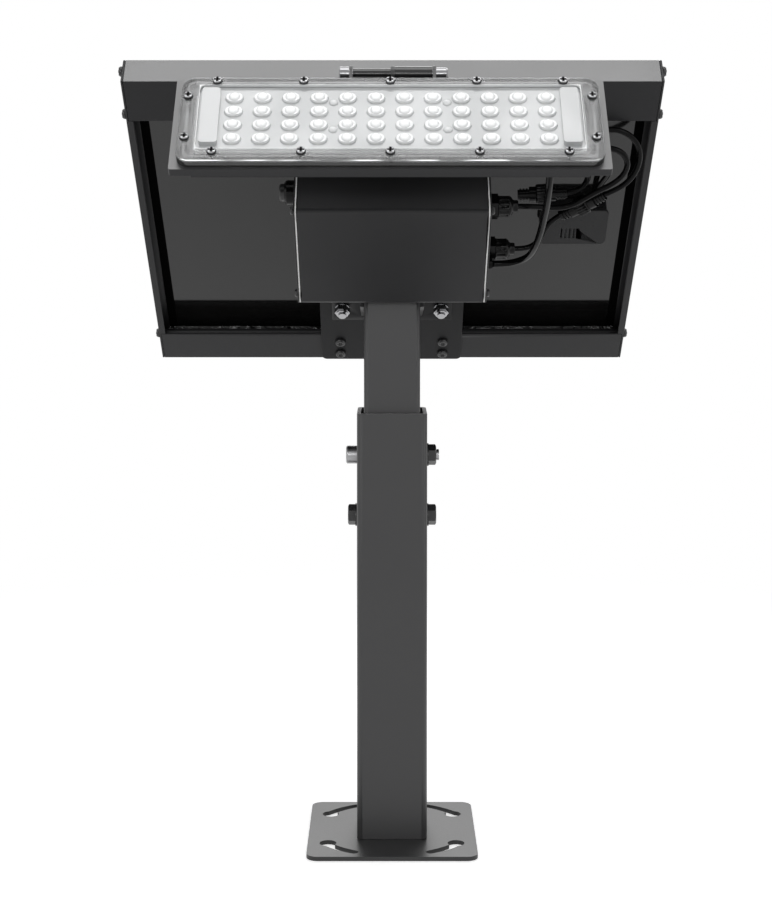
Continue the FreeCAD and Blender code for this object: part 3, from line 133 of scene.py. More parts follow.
# Camera: place in metres, drop in degrees, lens and sensor in millimetres
CAMERA_PLACE = (-0.0043, -1.296, 0.43929)
CAMERA_DROP = 2
CAMERA_LENS = 71.44
CAMERA_SENSOR = 36
CAMERA_SHIFT = -0.1788


def in_head(point):
    """A point of the head's frame, in millimetres, as a place in the part's frame."""
    return HEAD @ (Vector(point) * MM)


# Shader maths
class Field:
    """A shader socket that takes part in Python arithmetic: each operation adds a Math node."""

    def __init__(self, finish, socket):
        self.finish = finish
        self.socket = socket

    def math(self, operation, *values):
        sockets = {i: value for i, value in enumerate(values)}
        return self.finish.add("Math", {"operation": operation}, sockets)

    def __add__(self, other):
        return self.math("ADD", self, other)

    def __radd__(self, other):
        return self.math("ADD", other, self)

    def __sub__(self, other):
        return self.math("SUBTRACT", self, other)

    def __rsub__(self, other):
        return self.math("SUBTRACT", other, self)

    def __mul__(self, other):
        return self.math("MULTIPLY", self, other)

    def __rmul__(self, other):
        return self.math("MULTIPLY", other, self)

    def __truediv__(self, other):
        return self.math("DIVIDE", self, other)

    def __rtruediv__(self, other):
        return self.math("DIVIDE", other, self)

    def __pow__(self, other):
        return self.math("POWER", self, other)

    def __abs__(self):
        return self.math("ABSOLUTE", self)

    def lower(self, other):
        return self.math("MINIMUM", self, other)

    def higher(self, other):
        return self.math("MAXIMUM", self, other)

    def repeat(self, pitch):
        """Distance to the nearest multiple of a pitch."""
        return self.math("PINGPONG", self, pitch / 2)

    def rise(self, start, end):
        """Smooth step from 0 at start to 1 at end."""
        settings = {"interpolation_type": "SMOOTHSTEP"}
        sockets = {"Value": self, "From Min": start, "From Max": end}
        return self.finish.add("MapRange", settings, sockets)

    def fall(self, start, end):
        """Smooth step from 1 at start to 0 at end."""
        settings = {"interpolation_type": "SMOOTHSTEP"}
        sockets = {"Value": self, "From Min": start, "From Max": end, "To Min": 1.0, "To Max": 0.0}
        return self.finish.add("MapRange", settings, sockets)


class Finish:
    """A material under construction."""

    def __init__(self, name):
        self.material = bpy.data.materials.new(name)
        self.material.use_nodes = True
        self.tree = self.material.node_tree
        self.tree.nodes.clear()

    def add(self, kind, settings=None, sockets=None, output=0):
        """A node of a kind: its settings are set first, then the values or links of its sockets."""
        node = self.tree.nodes.new("ShaderNode" + kind)
        for key, value in (settings or {}).items():
            setattr(node, key, value)
        for key, value in (sockets or {}).items():
            target = node.inputs[key]
            if isinstance(value, Field):
                self.tree.links.new(value.socket, target)
            else:
                target.default_value = value
        return Field(self, node.outputs[output])

    def place(self):
        """Place on the piece, in metres of the part's frame."""
        return self.add("TexCoord", output="Object")

    def head_place(self):
        """Place in the head's frame, in metres."""
        turn = HEAD_TURN.inverted()
        shift = turn @ Vector((0, 0, -HEAD_HEIGHT))
        sockets = {"Vector": self.place(), "Rotation": (TILT, 0, 0), "Location": shift}
        return self.add("Mapping", {"vector_type": "POINT"}, sockets)

    def split(self, vector):
        parts = self.add("SeparateXYZ", None, {"Vector": vector})
        node = parts.socket.node
        return [Field(self, socket) for socket in node.outputs]

    def noise(self, vector, scale, detail=2.0, roughness=0.5):
        sockets = {"Vector": vector, "Scale": scale, "Detail": detail, "Roughness": roughness}
        return self.add("TexNoise", None, sockets)

    def stretched(self, vector, scale):
        return self.add("Mapping", {"vector_type": "POINT"}, {"Vector": vector, "Scale": scale})

    def blend(self, factor, first, second):
        """Colour between two colours."""
        settings = {"data_type": "RGBA", "blend_type": "MIX"}
        return self.add("Mix", settings, {0: factor, 6: first, 7: second}, output=2)

    def bump(self, height, strength, distance, normal=None):
        sockets = {"Height": height, "Strength": strength, "Distance": distance}
        if normal is not None:
            sockets["Normal"] = normal
        return self.add("Bump", None, sockets)

    def surface(self, sockets):
        return self.add("BsdfPrincipled", None, sockets)

    def close(self, shader):
        node = self.tree.nodes.new("ShaderNodeOutputMaterial")
        self.tree.links.new(shader.socket, node.inputs["Surface"])
        return self.material


def grey(value, warm=0.0):
    return (value * (1 + warm), value, value * (1 - warm), 1)


def scaled(colour, factor):
    return tuple(c * factor for c in colour[:3]) + (1,)


# Finishes
def powder_coat(name, tone, roughness, sheen=0.5, under=None, rim=None):
    """Baked powder paint with orange peel, faint clouds and dust.

    Where under is given, it is the sheen of the faces that look down, and sheen that of faces that look
    up:
    two copies of one coat, with painted shade on the duller side. Where rim is given, faces that look up
    take that paler colour, a painted highlight on a cut rim.
    """
    finish = Finish(name)
    place = finish.place()
    peel = finish.noise(place, 900, 3.0, 0.6)
    clouds = finish.noise(place, 14, 3.0)
    specks = finish.noise(place, 2600, 1.0).rise(0.66, 0.76)
    colour = finish.blend(clouds, scaled(tone, 0.88), scaled(tone, 1.12))
    colour = finish.blend(specks * 0.25, colour, scaled(tone, 2.2))
    up = finish.split(finish.add("NewGeometry", output="True Normal"))[2]
    # Painted highlight: faces that look up are blended towards the paler rim colour
    if rim is not None:
        colour = finish.blend(up.rise(0.8, 0.95), colour, rim)
    skin = {"Base Color": colour, "Roughness": roughness + (clouds - 0.5) * 0.12 + (peel - 0.5) * 0.1,
            "IOR": 1.5, "Normal": finish.bump(peel, 0.18, 0.00012)}
    shader = finish.surface({**skin, "Specular IOR Level": sheen})
    # Painted shade: faces that look up and faces that look down get copies of the coat with different
    # sheen, so that the side in shade renders darker
    if under is not None:
        dull = finish.surface({**skin, "Specular IOR Level": under})
        shader = finish.add("MixShader", None, {0: up.rise(-0.2, 0.2), 1: dull, 2: shader})
    return finish.close(shader)


def plated_steel(name, tone, roughness):
    """Bright zinc plate with fine turning marks and slight stains."""
    finish = Finish(name)
    place = finish.place()
    marks = finish.noise(finish.stretched(place, (4000, 600, 600)), 1.0, 2.0)
    stain = finish.noise(place, 120, 3.0)
    # Painted shade: the recess layer darkens the side of a screw head and the floor of its recess
    recess = finish.add("Attribute", {"attribute_name": "recess"}, None, "Fac")
    metal = finish.blend(stain, scaled(tone, 0.8), tone)
    shader = finish.surface({
        "Base Color": finish.blend(recess, metal, scaled(tone, 0.03)), "Metallic": 1.0,
        "Roughness": roughness + (stain - 0.5) * 0.15 + (marks - 0.5) * 0.08,
        "Normal": finish.bump(marks, 0.08, 0.00005)})
    return finish.close(shader)


def moulded_plastic(name, tone, roughness, grain=700, depth=0.1, sheen=0.5):
    """Moulded plastic with a fine spark texture."""
    finish = Finish(name)
    place = finish.place()
    spark = finish.noise(place, grain, 2.0)
    clouds = finish.noise(place, 40, 2.0)
    shader = finish.surface({
        "Base Color": finish.blend(clouds, scaled(tone, 0.85), scaled(tone, 1.15)),
        "Roughness": roughness + (spark - 0.5) * 0.15, "Specular IOR Level": sheen,
        "Normal": finish.bump(spark, depth, 0.0001)})
    return finish.close(shader)


def jacket_rubber(name, tone):
    """Cable jacket: satin, with faint lengthwise flow lines."""
    finish = Finish(name)
    place = finish.place()
    flow = finish.noise(place, 320, 3.0, 0.65)
    shader = finish.surface({
        "Base Color": finish.blend(flow, scaled(tone, 0.7), scaled(tone, 1.3)),
        "Roughness": 0.11 + (flow - 0.5) * 0.08, "Specular IOR Level": 0.08,
        "Normal": finish.bump(flow, 0.12, 0.0001)})
    return finish.close(shader)


def wet_sealant(name):
    """Cured black sealant: glossy, with soft runs along the bead."""
    finish = Finish(name)
    place = finish.place()
    runs = finish.noise(place, 70, 3.0, 0.55)
    ripples = finish.noise(place, 420, 2.0)
    shader = finish.surface({
        "Base Color": finish.blend(runs, grey(0.003), grey(0.008)),
        "Roughness": 0.12 + runs * 0.10, "Specular IOR Level": 0.2,
        "Normal": finish.bump(ripples, 0.2, 0.0004, finish.bump(runs, 1.0, 0.003))})
    return finish.close(shader)


def back_film(name):
    """Black back sheet of the panel: glossy film with a slight waviness over the cells."""
    finish = Finish(name)
    place = finish.head_place()
    waves = finish.noise(place, 26, 2.0)
    pebble = finish.noise(place, 1500, 1.0)
    x, y, _ = finish.split(place)
    # Painted shade: a matt near-black border along the sides and the bottom of the film, standing in for
    # the rails' shade and their dark reflection
    edge = (abs(x) / MM).rise(PANEL_W / 2 - 12.5, PANEL_W / 2 - 12)
    edge = edge.higher((y / MM).rise(PANEL_L / 2 - 20, PANEL_L / 2 - 19.5))
    film = finish.surface({
        "Base Color": finish.blend(waves, grey(0.006), grey(0.009)),
        "Roughness": 0.08 + (pebble - 0.5) * 0.05, "Specular IOR Level": 0.40,
        "Normal": finish.bump(pebble, 0.02, 0.0001, finish.bump(waves, 0.03, 0.001))})
    painted_shade_border = finish.add("BsdfDiffuse", None, {"Color": grey(0.003)})
    return finish.close(finish.add("MixShader", None, {0: edge, 1: film, 2: painted_shade_border}))


def solar_cell(name):
    """Mono cell: dark blue wafer with silver busbars across fine fingers."""
    finish = Finish(name)
    x, y, _ = finish.split(finish.head_place())
    grain = finish.noise(finish.head_place(), 60, 3.0)
    bar = x.repeat(BUSBAR_PITCH).fall(0.0004, 0.0007)
    finger = y.repeat(FINGER_PITCH).fall(0.00006, 0.00016)
    silver = bar.higher(finger * 0.45)
    wafer = finish.blend(grain, (0.004, 0.007, 0.022, 1), (0.008, 0.013, 0.04, 1))
    shader = finish.surface({
        "Base Color": finish.blend(silver, wafer, (0.55, 0.56, 0.58, 1)),
        "Metallic": silver * 0.7, "Roughness": 0.32 - silver * 0.06})
    return finish.close(shader)


def clear_sheet(name, haze, tint):
    """Flat glass: clear, glossy at a slant, with a trace of dust."""
    finish = Finish(name)
    dust = finish.noise(finish.place(), 35, 4.0).rise(0.45, 0.8)
    gloss = finish.surface({"Base Color": grey(0.6), "Roughness": 0.04 + dust * 0.05, "IOR": GLASS_IOR})
    through = finish.add("BsdfTransparent", None, {"Color": tint})
    edge = finish.add("Fresnel", None, {"IOR": GLASS_IOR})
    mixed = finish.add("MixShader", None, {0: edge + haze + dust * 0.015, 1: through, 2: gloss})
    return finish.close(mixed)


def lens_plastic(name):
    """Clear moulded cover of the lamp: bright lenses in a clear flange.

    The flange has painted highlight and shade lines and a painted glint on its lower edge. It has
    painted shade along the bottom, at the ends, round the window and on its side wall, and its recess
    wall is painted paler. The lenses are painted near white, with a faint painted glow on their crowns.
    """
    finish = Finish(name)
    x, y, z = finish.split(finish.head_place())
    x_mm = abs(x / MM - LAMP_SHIFT_X)
    side_z = z / MM - COVER_MID_Z
    height = WINDOW_Y - y / MM
    window_x = WINDOW_W / 2 - x_mm
    window_z = WINDOW_H / 2 - abs(z / MM - WINDOW_MID_Z)
    window = window_x.lower(window_z)
    inside = window.rise(-0.2, 0.2)
    field = x_mm.fall(LENS_FIELD_X, LENS_FIELD_X + 1)
    field = field * abs(z / MM - LENS_MID_Z).fall(LENS_FIELD_Z, LENS_FIELD_Z + 1)
    lens = height.rise(0.05, 0.5) * field
    crown = height.rise(1.6, LENS_RISE) * field
    corner_x = (x_mm - (COVER_W / 2 - COVER_R)).higher(0)
    corner_z = (abs(side_z) - (COVER_H / 2 - COVER_R)).higher(0)
    depth = COVER_R - (corner_x * corner_x + corner_z * corner_z) ** 0.5
    flow = finish.noise(finish.head_place(), 40, 1.0)
    wander = (finish.noise(finish.head_place(), 22, 0.0) - 0.5) * 4.0
    below = side_z.fall(-COVER_H / 2 + 1.6, -COVER_H / 2 + 2.6)
    # Painted shade: the side wall of the cover is coloured near black and reflects less
    wall = (y / MM - COVER_FACE_Y).rise(0.7, 1.1) * depth.fall(0.15, 0.4)
    # Painted highlight: a bright line along the lower front edge, given faint emission too
    painted_edge_glint = abs(depth - 0.8).fall(0.3, 0.7) * below * flow.rise(0.3, 0.7)
    # Painted shade: the flange is darkened along the bottom and at the ends
    low = side_z.fall(-COVER_H / 2 + 4, -COVER_H / 2 + 9)
    ends = x_mm.rise(WINDOW_W / 2 + 1, WINDOW_W / 2 + 4)
    # Painted highlights: pale wavy lines in the flange at set depths from its outline
    bright = painted_edge_glint * 0.8 + abs(depth + wander * 0.4 - 4.6).fall(0.3, 1.6) * 0.20
    bright = bright + abs(depth + wander - 7.2).fall(0.2, 1.6) * 0.12
    # Painted shade: thin dark lines in the flange at set depths from its outline
    dark = abs(depth + wander * 0.2 - 2.3).fall(0.1, 0.5) * below.higher(0.3)
    dark = dark * flow.rise(0.4, 0.6) * 0.5
    dark = dark + abs(depth + wander * 0.5 - 6.1).fall(0.1, 0.9) * 0.10
    # Painted shade: a dark line round the edge of the window
    painted_shade_border = abs(window + 0.2).fall(0.2, 0.6) * height.fall(0.3, 0.8) * 0.5
    hood = abs(x_mm - HOOD_X).fall(HOOD_W / 2 + 0.1, HOOD_W / 2 + 0.3) * height.rise(0.05, 0.4)
    # Painted light: the wall of the window's recess is made hazier and paler where it lies in shade
    lip = abs(window).fall(0.3, 0.6) * height.rise(0.6, 1.0)
    darker = low.higher(ends) * (1 - bright * 2).higher(0) * 0.6
    shade = (dark + painted_shade_border + wall + darker).lower(1.0)
    flange = 0.14 + flow * 0.08 + bright + dark + wall * 0.8
    haze = inside * (0.70 + flow * 0.05 + lens * 0.10 + crown * 0.10 + hood * 0.10)
    haze = haze + (1 - inside) * flange + painted_shade_border + lip * 0.6
    # Painted light: the lens domes and the highlight lines take a near-white colour
    white = (height.rise(0.3, 1.2) * field).higher(bright * 3).lower(1.0)
    flat = finish.add("NewGeometry", output="True Normal")
    pane = finish.blend(hood, (0.60, 0.612, 0.618, 1), (0.52, 0.53, 0.535, 1))
    clear = finish.blend(inside, (0.70, 0.71, 0.715, 1), pane)
    clear = finish.blend(white, clear, (0.93, 0.94, 0.945, 1))
    body = finish.surface({
        "Base Color": finish.blend(shade, clear, grey(0.012)),
        "Roughness": 0.07 + flow * 0.05, "IOR": 1.5,
        # Painted glow: the lens crowns and the lower edge line emit faintly
        "Emission Color": finish.blend(crown.higher(painted_edge_glint), (0.0, 0.0, 0.0, 1), (1, 1, 1, 1)),
        "Emission Strength": 0.35, "Normal": flat})
    through = finish.add("BsdfTransparent", None, {"Color": (0.97, 0.98, 0.98, 1)})
    filled = finish.add("MixShader", None, {0: haze.lower(1.0), 1: through, 2: body})
    gloss = finish.add("BsdfGlossy", None, {"Color": grey(0.9), "Roughness": 0.08, "Normal": flat})
    slant = finish.add("LayerWeight", None, {"Blend": 0.5, "Normal": flat}, "Facing")
    mirror = (0.02 + slant ** 5 * 0.4) * (1 - wall * 0.9)
    mixed = finish.add("MixShader", None, {0: mirror, 1: filled, 2: gloss})
    return finish.close(mixed)


def white_board(name):
    """White solder mask with faint traces between the chips."""
    finish = Finish(name)
    x, _, z = finish.split(finish.head_place())
    across = (z - LENS_MID_Z * MM).repeat(LENS_PITCH_Z * MM)
    along = (x - LAMP_SHIFT_X * MM).repeat(LENS_PITCH_X * MM)
    trace = across.fall(0.0008, 0.0011).higher(along.fall(0.0005, 0.0008))
    mottle = finish.noise(finish.head_place(), 160, 3.0)
    mask = finish.blend(mottle, (0.74, 0.75, 0.755, 1), (0.79, 0.80, 0.805, 1))
    shader = finish.surface({
        "Base Color": finish.blend(trace * 0.5, mask, (0.64, 0.655, 0.66, 1)),
        "Roughness": 0.38 + (mottle - 0.5) * 0.1,
        "Normal": finish.bump(trace, 0.3, 0.00008)})
    return finish.close(shader)


def phosphor(name):
    """Chip face: a yellow phosphor square in a white rim, faintly lit."""
    finish = Finish(name)
    x, _, z = finish.split(finish.head_place())
    dx = (x - (LAMP_SHIFT_X + LENS_PITCH_X / 2) * MM).repeat(LENS_PITCH_X * MM)
    dz = (z - (LENS_MID_Z + LENS_PITCH_Z / 2) * MM).repeat(LENS_PITCH_Z * MM)
    face = dx.higher(dz).fall(0.0011, 0.0013)
    grain = finish.noise(finish.head_place(), 2200, 1.0)
    yellow = finish.blend(grain, (0.80, 0.60, 0.10, 1), (0.90, 0.72, 0.20, 1))
    shader = finish.surface({
        "Base Color": finish.blend(face, (0.85, 0.85, 0.84, 1), yellow), "Roughness": 0.45,
        "Emission Color": finish.blend(face, (0.0, 0.0, 0.0, 1), (1.0, 0.96, 0.86, 1)),
        "Emission Strength": 0.8})
    return finish.close(shader)


def circuit_mask(name):
    """Green solder mask with gold pads and darker traces."""
    finish = Finish(name)
    place = finish.place()
    cells = finish.add("TexVoronoi", {"feature": "DISTANCE_TO_EDGE"}, {"Vector": place, "Scale": 260.0})
    pads = finish.noise(place, 480, 1.0).rise(0.64, 0.67)
    mask = finish.blend(cells.rise(0.0, 0.08), (0.02, 0.10, 0.03, 1), (0.008, 0.05, 0.015, 1))
    shader = finish.surface({
        "Base Color": finish.blend(pads, mask, (0.75, 0.55, 0.18, 1)),
        "Metallic": pads * 0.9, "Roughness": 0.35})
    return finish.close(shader)


def cell_wrap(name):
    """Heat-shrunk wrap of the battery cells, creased at the ends."""
    finish = Finish(name)
    place = finish.place()
    crease = finish.noise(finish.stretched(place, (400, 40, 40)), 1.0, 3.0)
    shader = finish.surface({
        "Base Color": finish.blend(crease, (0.01, 0.07, 0.20, 1), (0.02, 0.12, 0.30, 1)),
        "Roughness": 0.28, "Normal": finish.bump(crease, 0.2, 0.0002)})
    return finish.close(shader)


def foam_gasket(name):
    """White closed-cell gasket."""
    finish = Finish(name)
    pores = finish.noise(finish.place(), 900, 3.0)
    shader = finish.surface({
        "Base Color": finish.blend(pores, (0.70, 0.70, 0.69, 1), (0.86, 0.86, 0.85, 1)),
        "Roughness": 0.65, "Normal": finish.bump(pores, 0.3, 0.0002)})
    return finish.close(shader)


finishes = {
    "post_grey": powder_coat("post_powder_coat", (0.034, 0.034, 0.0350, 1), 0.40, 0.5),
    # Frame, box and lamp coats: the last two numbers are the sheen of faces that look up and down,
    # painted shade on the duller side
    "frame_grey": powder_coat("frame_powder_coat", (0.026, 0.026, 0.0275, 1), 0.34, 1.0, 0.11),
    "box_grey": powder_coat("box_powder_coat", (0.026, 0.026, 0.0272, 1), 0.32, 0.04, 0.17),
    "lamp_grey": powder_coat("lamp_powder_coat", (0.026, 0.026, 0.0275, 1), 0.40, 1.0, 0.17),
    "bright_steel": plated_steel("bright_plated_steel", (0.42, 0.42, 0.43, 1), 0.12),
    "black_steel": powder_coat("black_oxide_steel", (0.018, 0.018, 0.0188, 1), 0.32),
    "panel_glass": clear_sheet("panel_glass", 0.01, (0.97, 0.98, 0.98, 1)),
    "solar_cell": solar_cell("solar_cell"),
    "backsheet": back_film("back_film"),
    "sealant": wet_sealant("wet_sealant"),
    "black_plastic": moulded_plastic(
        "black_moulded_plastic", (0.004, 0.004, 0.0042, 1), 0.20, sheen=0.15),
    "button_plastic": moulded_plastic("button_plastic", (0.016, 0.016, 0.017, 1), 0.36),
    "black_rubber": jacket_rubber("cable_jacket", (0.003, 0.003, 0.0032, 1)),
    "white_gasket": foam_gasket("white_gasket"),
    "battery_wrap": cell_wrap("cell_wrap"),
    "inner_plastic": moulded_plastic("holder_plastic", (0.03, 0.03, 0.031, 1), 0.5),
    "circuit_board": circuit_mask("circuit_mask"),
    "white_board": white_board("white_led_board"),
    "led_yellow": phosphor("chip_phosphor"),
    "white_plastic": moulded_plastic("white_plastic", (0.74, 0.75, 0.755, 1), 0.35),
    "clear_plastic": lens_plastic("clear_lens_plastic"),
}


# Nodes whose finish differs from that of their slot. The side rails, spine plate and yoke take darker,
# duller copies of the grey coat: painted shade.
shaded_rail_coat = powder_coat("shaded_rail_powder_coat", (0.018, 0.018, 0.0190, 1), 0.38, 0.20)
shade_coat = powder_coat("shade_powder_coat", (0.016, 0.016, 0.0168, 1), 0.36, 0.12)
own_finishes = {
    "junction_box": moulded_plastic("junction_plastic", (0.020, 0.020, 0.0208, 1), 0.30, sheen=0.14),
    "hinge_spacers": powder_coat("hinge_powder_coat", (0.008, 0.008, 0.0083, 1), 0.22),
    # The outer post's paler rim is a painted highlight on its cut end
    "outer_post": powder_coat(
        "outer_post_coat", (0.034, 0.034, 0.0350, 1), 0.40, 0.5, rim=grey(0.42)),
    "base_plate": powder_coat("base_powder_coat", (0.016, 0.016, 0.0166, 1), 0.36, 0.9, 0.1),
    "spine_plate": shade_coat,
    "spine_screws": powder_coat("black_screw_coat", (0.006, 0.006, 0.0063, 1), 0.30, 0.25),
    "yoke_bracket": shade_coat,
    "upper_post_bolt": plated_steel("soft_plated_bolt", (0.34, 0.34, 0.347, 1), 0.32),
    "left_rail": shaded_rail_coat,
    "right_rail": shaded_rail_coat,
    "bottom_rail": shaded_rail_coat,
    "hinge_bolt": plated_steel("dull_plated_bolt", (0.28, 0.28, 0.287, 1), 0.24),
    "hinge_nut": plated_steel("dull_plated_nut", (0.28, 0.28, 0.287, 1), 0.24),
    "junction_lid": moulded_plastic(
        "junction_lid_plastic", (0.020, 0.020, 0.0208, 1), 0.30, sheen=0.14),
}


def paint(piece, slot):
    piece.data.materials.clear()
    piece.data.materials.append(finishes[slot])


def dress_nodes():
    """Each solid of the frame gets the finish of its slot in the record."""
    for name, node in nodes.items():
        slot = node.material_slots[0].material.name
        node.material_slots[0].material = own_finishes.get(name, finishes[slot])


# Edge breaks of the folded and extruded metal, as a rounded edge in metres
EDGE_BREAKS = {
    "outer_post": 0.0004, "inner_post": 0.0004, "top_rail": 0.0006,
    "bottom_rail": 0.0006, "left_rail": 0.0006, "right_rail": 0.0006, "box_body": 0.0012,
    "box_end_left": 0.0005, "box_end_right": 0.0005, "spine_plate": 0.0004,
    "yoke_bracket": 0.0004, "junction_box": 0.0006, "junction_lid": 0.0006, "lamp_cable_box": 0.0008}


def break_edges():
    for name, width in EDGE_BREAKS.items():
        weld = nodes[name].modifiers.new("weld", "WELD")
        weld.merge_threshold = TOUCHING
        flat = nodes[name].modifiers.new("merge_flats", "DECIMATE")
        flat.decimate_type = "DISSOLVE"
        flat.angle_limit = math.radians(0.5)
        edge = nodes[name].modifiers.new("edge_break", "BEVEL")
        edge.width = width
        edge.segments = 2
        edge.limit_method = "ANGLE"
        edge.angle_limit = math.radians(50)
        edge.use_clamp_overlap = False
        edge.harden_normals = True


# Meshes
def new_piece(name, bm, body, slot, *stands_for):
    """Closes a mesh under construction into a piece that rides on a body."""
    for edge in bm.edges:
        edge.smooth = len(edge.link_faces) == 2 and edge.calc_face_angle(0) < SMOOTH_BELOW
    for face in bm.faces:
        face.smooth = True
    bmesh.ops.recalc_face_normals(bm, faces=bm.faces)
    mesh = bpy.data.meshes.new(name)
    bm.to_mesh(mesh)
    bm.free()
    piece = bpy.data.objects.new(name, mesh)
    scene.collection.objects.link(piece)
    paint(piece, slot)
    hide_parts(*stands_for)
    if body:
        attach(piece, body)
    return piece


def axis_frame(start, axis):
    """Frame with its z along an axis."""
    turn = Vector((0, 0, 1)).rotation_difference(axis)
    return Matrix.Translation(start) @ turn.to_matrix().to_4x4()


def turned_skin(bm, place, rings, angles, side=0):
    """Skin of a turned piece: each ring gives (radius, height) for an angle, and both ends are closed.

    With a side, the last ring is the floor of a recess, and the ring of that number ends the side of
    the head; the faces of both carry painted shade in the recess layer.
    """
    layer = bm.faces.layers.float.get("recess") or bm.faces.layers.float.new("recess")
    loops = []
    for ring in rings:
        loop = []
        for angle in angles:
            radius, height = ring(angle)
            point = Vector((radius * math.cos(angle), radius * math.sin(angle), height))
            loop.append(bm.verts.new(place @ point))
        loops.append(loop)
    count = len(angles)
    for step, (low, high) in enumerate(zip(loops, loops[1:])):
        for i in range(count):
            j = (i + 1) % count
            face = bm.faces.new((low[i], low[j], high[j], high[i]))
            if side and step < side:
                face[layer] = SIDE_SHADE
            elif side and step == len(loops) - 2:
                face[layer] = RECESS_SHADE
    bm.faces.new(list(reversed(loops[0])))
    last = bm.faces.new(loops[-1])
    if side:
        last[layer] = RECESS_SHADE


def plain_ring(radius, height):
    return lambda angle: (radius, height)


def solids_of(name):
    """Corner points of each separate solid of a node."""
    bm = bmesh.new()
    bm.from_mesh(nodes[name].data)
    bmesh.ops.remove_doubles(bm, verts=bm.verts, dist=TOUCHING)
    left = set(bm.verts)
    groups = []
    while left:
        stack = [left.pop()]
        group = []
        while stack:
            vert = stack.pop()
            group.append(vert.co.copy())
            for edge in vert.link_edges:
                other = edge.other_vert(vert)
                if other in left:
                    left.remove(other)
                    stack.append(other)
        groups.append(group)
    bm.free()
    return groups


def measured(points, axis):
    """Middle of a turned solid on its axis, its lowest and highest height and its largest radius."""
    place = axis_frame(Vector((0, 0, 0)), axis)
    flat = [place.inverted() @ p for p in points]
    low = Vector([min(p[i] for p in flat) for i in range(3)])
    high = Vector([max(p[i] for p in flat) for i in range(3)])
    mid = (low + high) / 2
    radius = (high.x - low.x) / 2
    return place, Vector((mid.x, mid.y, 0)), low.z, high.z, radius


def cross_radius(angle, arm, half_width):
    """Edge of a cross recess in one direction."""
    c = max(abs(math.cos(angle)), 0.000001)
    s = max(abs(math.sin(angle)), 0.000001)
    return max(min(arm / c, half_width / s), min(half_width / c, arm / s))


def hex_radius(angle, across):
    """Edge of a hexagon recess in one direction."""
    sector = math.radians(60)
    turn = (angle % sector) - sector / 2
    return across / 2 / math.cos(turn)


def recess_angles(corner):
    """Angles round a head: an even fan and the corners of a cross recess."""
    corners = [math.radians(90 * i) + side * corner for i in range(4) for side in (-1, 1)]
    return sorted(set(round(a % (2 * math.pi), 6) for a in FAN + corners))


def screw_head(bm, place, radius, head_h, shank_r, length, recess):
    """Pan head with a recess and a plain shank, from its seat at height 0."""
    dome = [(1.0, 0.0), (1.0, 0.38), (0.95, 0.62), (0.88, 0.80), (0.78, 0.92)]
    rings = [plain_ring(shank_r, -length), plain_ring(shank_r, 0)]
    rings += [plain_ring(radius * r, head_h * h) for r, h in dome]
    if recess == "cross":
        arm = 0.72 * radius
        half_width = 0.21 * radius
        corner = math.atan2(half_width, arm)
        angles = recess_angles(corner)
        rings.append(lambda a: (cross_radius(a, arm, half_width), head_h))
        rings.append(lambda a: (cross_radius(a, 0.8 * arm, 0.8 * half_width), 0.25 * head_h))
    else:
        angles = FAN
        across = 0.8 * radius
        rings.append(lambda a: (hex_radius(a, across), head_h))
        rings.append(lambda a: (hex_radius(a, 0.96 * across), 0.3 * head_h))
    turned_skin(bm, place, rings, angles, len(dome))


def detailed_screws(name, body, slot, axis_of, head_h, shank_r, recess):
    """Screws with driven recesses in place of a node's plain ones."""
    bm = bmesh.new()
    for points in solids_of(name):
        axis = axis_of(points)
        place, mid, low, high, radius = measured(points, axis)
        seat = place @ Matrix.Translation((mid.x, mid.y, high - head_h))
        screw_head(bm, seat, radius, head_h, shank_r, high - head_h - low, recess)
    return new_piece(name.replace("screws", "screw_set"), bm, body, slot, name)


def facing(axis):
    """Screws that all point one way."""
    return lambda points: axis


def outward_x(points):
    """Screws in the sides of the panel or the box point away from the middle."""
    return ACROSS if sum(p.x for p in points) > 0 else -ACROSS


def headed(axis):
    """Chooses for each screw the way along an axis that its wide end points."""
    def way(points):
        place, mid, low, high, radius = measured(points, axis)
        rim = [p for p in points if ((place.inverted() @ p) - mid).xy.length > 0.9 * radius]
        height = sum((place.inverted() @ p).z for p in rim) / len(rim)
        return axis if height > (low + high) / 2 else -axis
    return way


# Screws: node, body, slot, way of the head, height of the head and radius of the shank in metres, recess
SCREW_SETS = [
    ("lens_screws", "lamp", "bright_steel", facing(-DOWN_SLOPE), 0.0022, 0.0015, "cross"),
    ("board_screws", "lamp", "bright_steel", facing(-DOWN_SLOPE), 0.0016, 0.0015, "cross"),
    ("lamp_bracket_screws", "lamp", "bright_steel", facing(DOWN_SLOPE), 0.0022, 0.0015, "cross"),
    ("box_end_screws", "head", "black_steel", outward_x, 0.0022, 0.0015, "cross"),
    ("frame_screws", "head", "black_steel", outward_x, 0.0026, 0.00175, "cross"),
    ("spine_screws", "head", "black_steel", headed(SUNWARD), 0.0028, 0.002, "hexagon")]


def fluted_ring(radius, height, flutes, depth):
    return lambda angle: (radius - depth * (0.5 + 0.5 * math.cos(flutes * angle)), height)


def fluted_sleeve(bm, place, profile, flutes, depth, fluted):
    """Turned sleeve with grip flutes on the stretch of heights given by fluted."""
    count = 8 * flutes
    angles = [2 * math.pi * i / count for i in range(count)]
    rings = []
    for height, radius in profile:
        if fluted[0] <= height <= fluted[1]:
            rings.append(fluted_ring(radius, height, flutes, depth))
        else:
            rings.append(plain_ring(radius, height))
    turned_skin(bm, place, rings, angles)


# Side of a gland cap as shares of its height and radius, from its seat to the hole for the lead
GLAND_PROFILE = [
    (0, 1), (0.06, 1), (0.10, 1), (0.50, 1), (0.55, 1), (0.62, 0.94), (0.69, 0.80), (0.73, 0.66),
    (0.78, 0.60), (0.94, 0.58), (1, 0.53), (1, 0.42), (0.9, 0.36)]


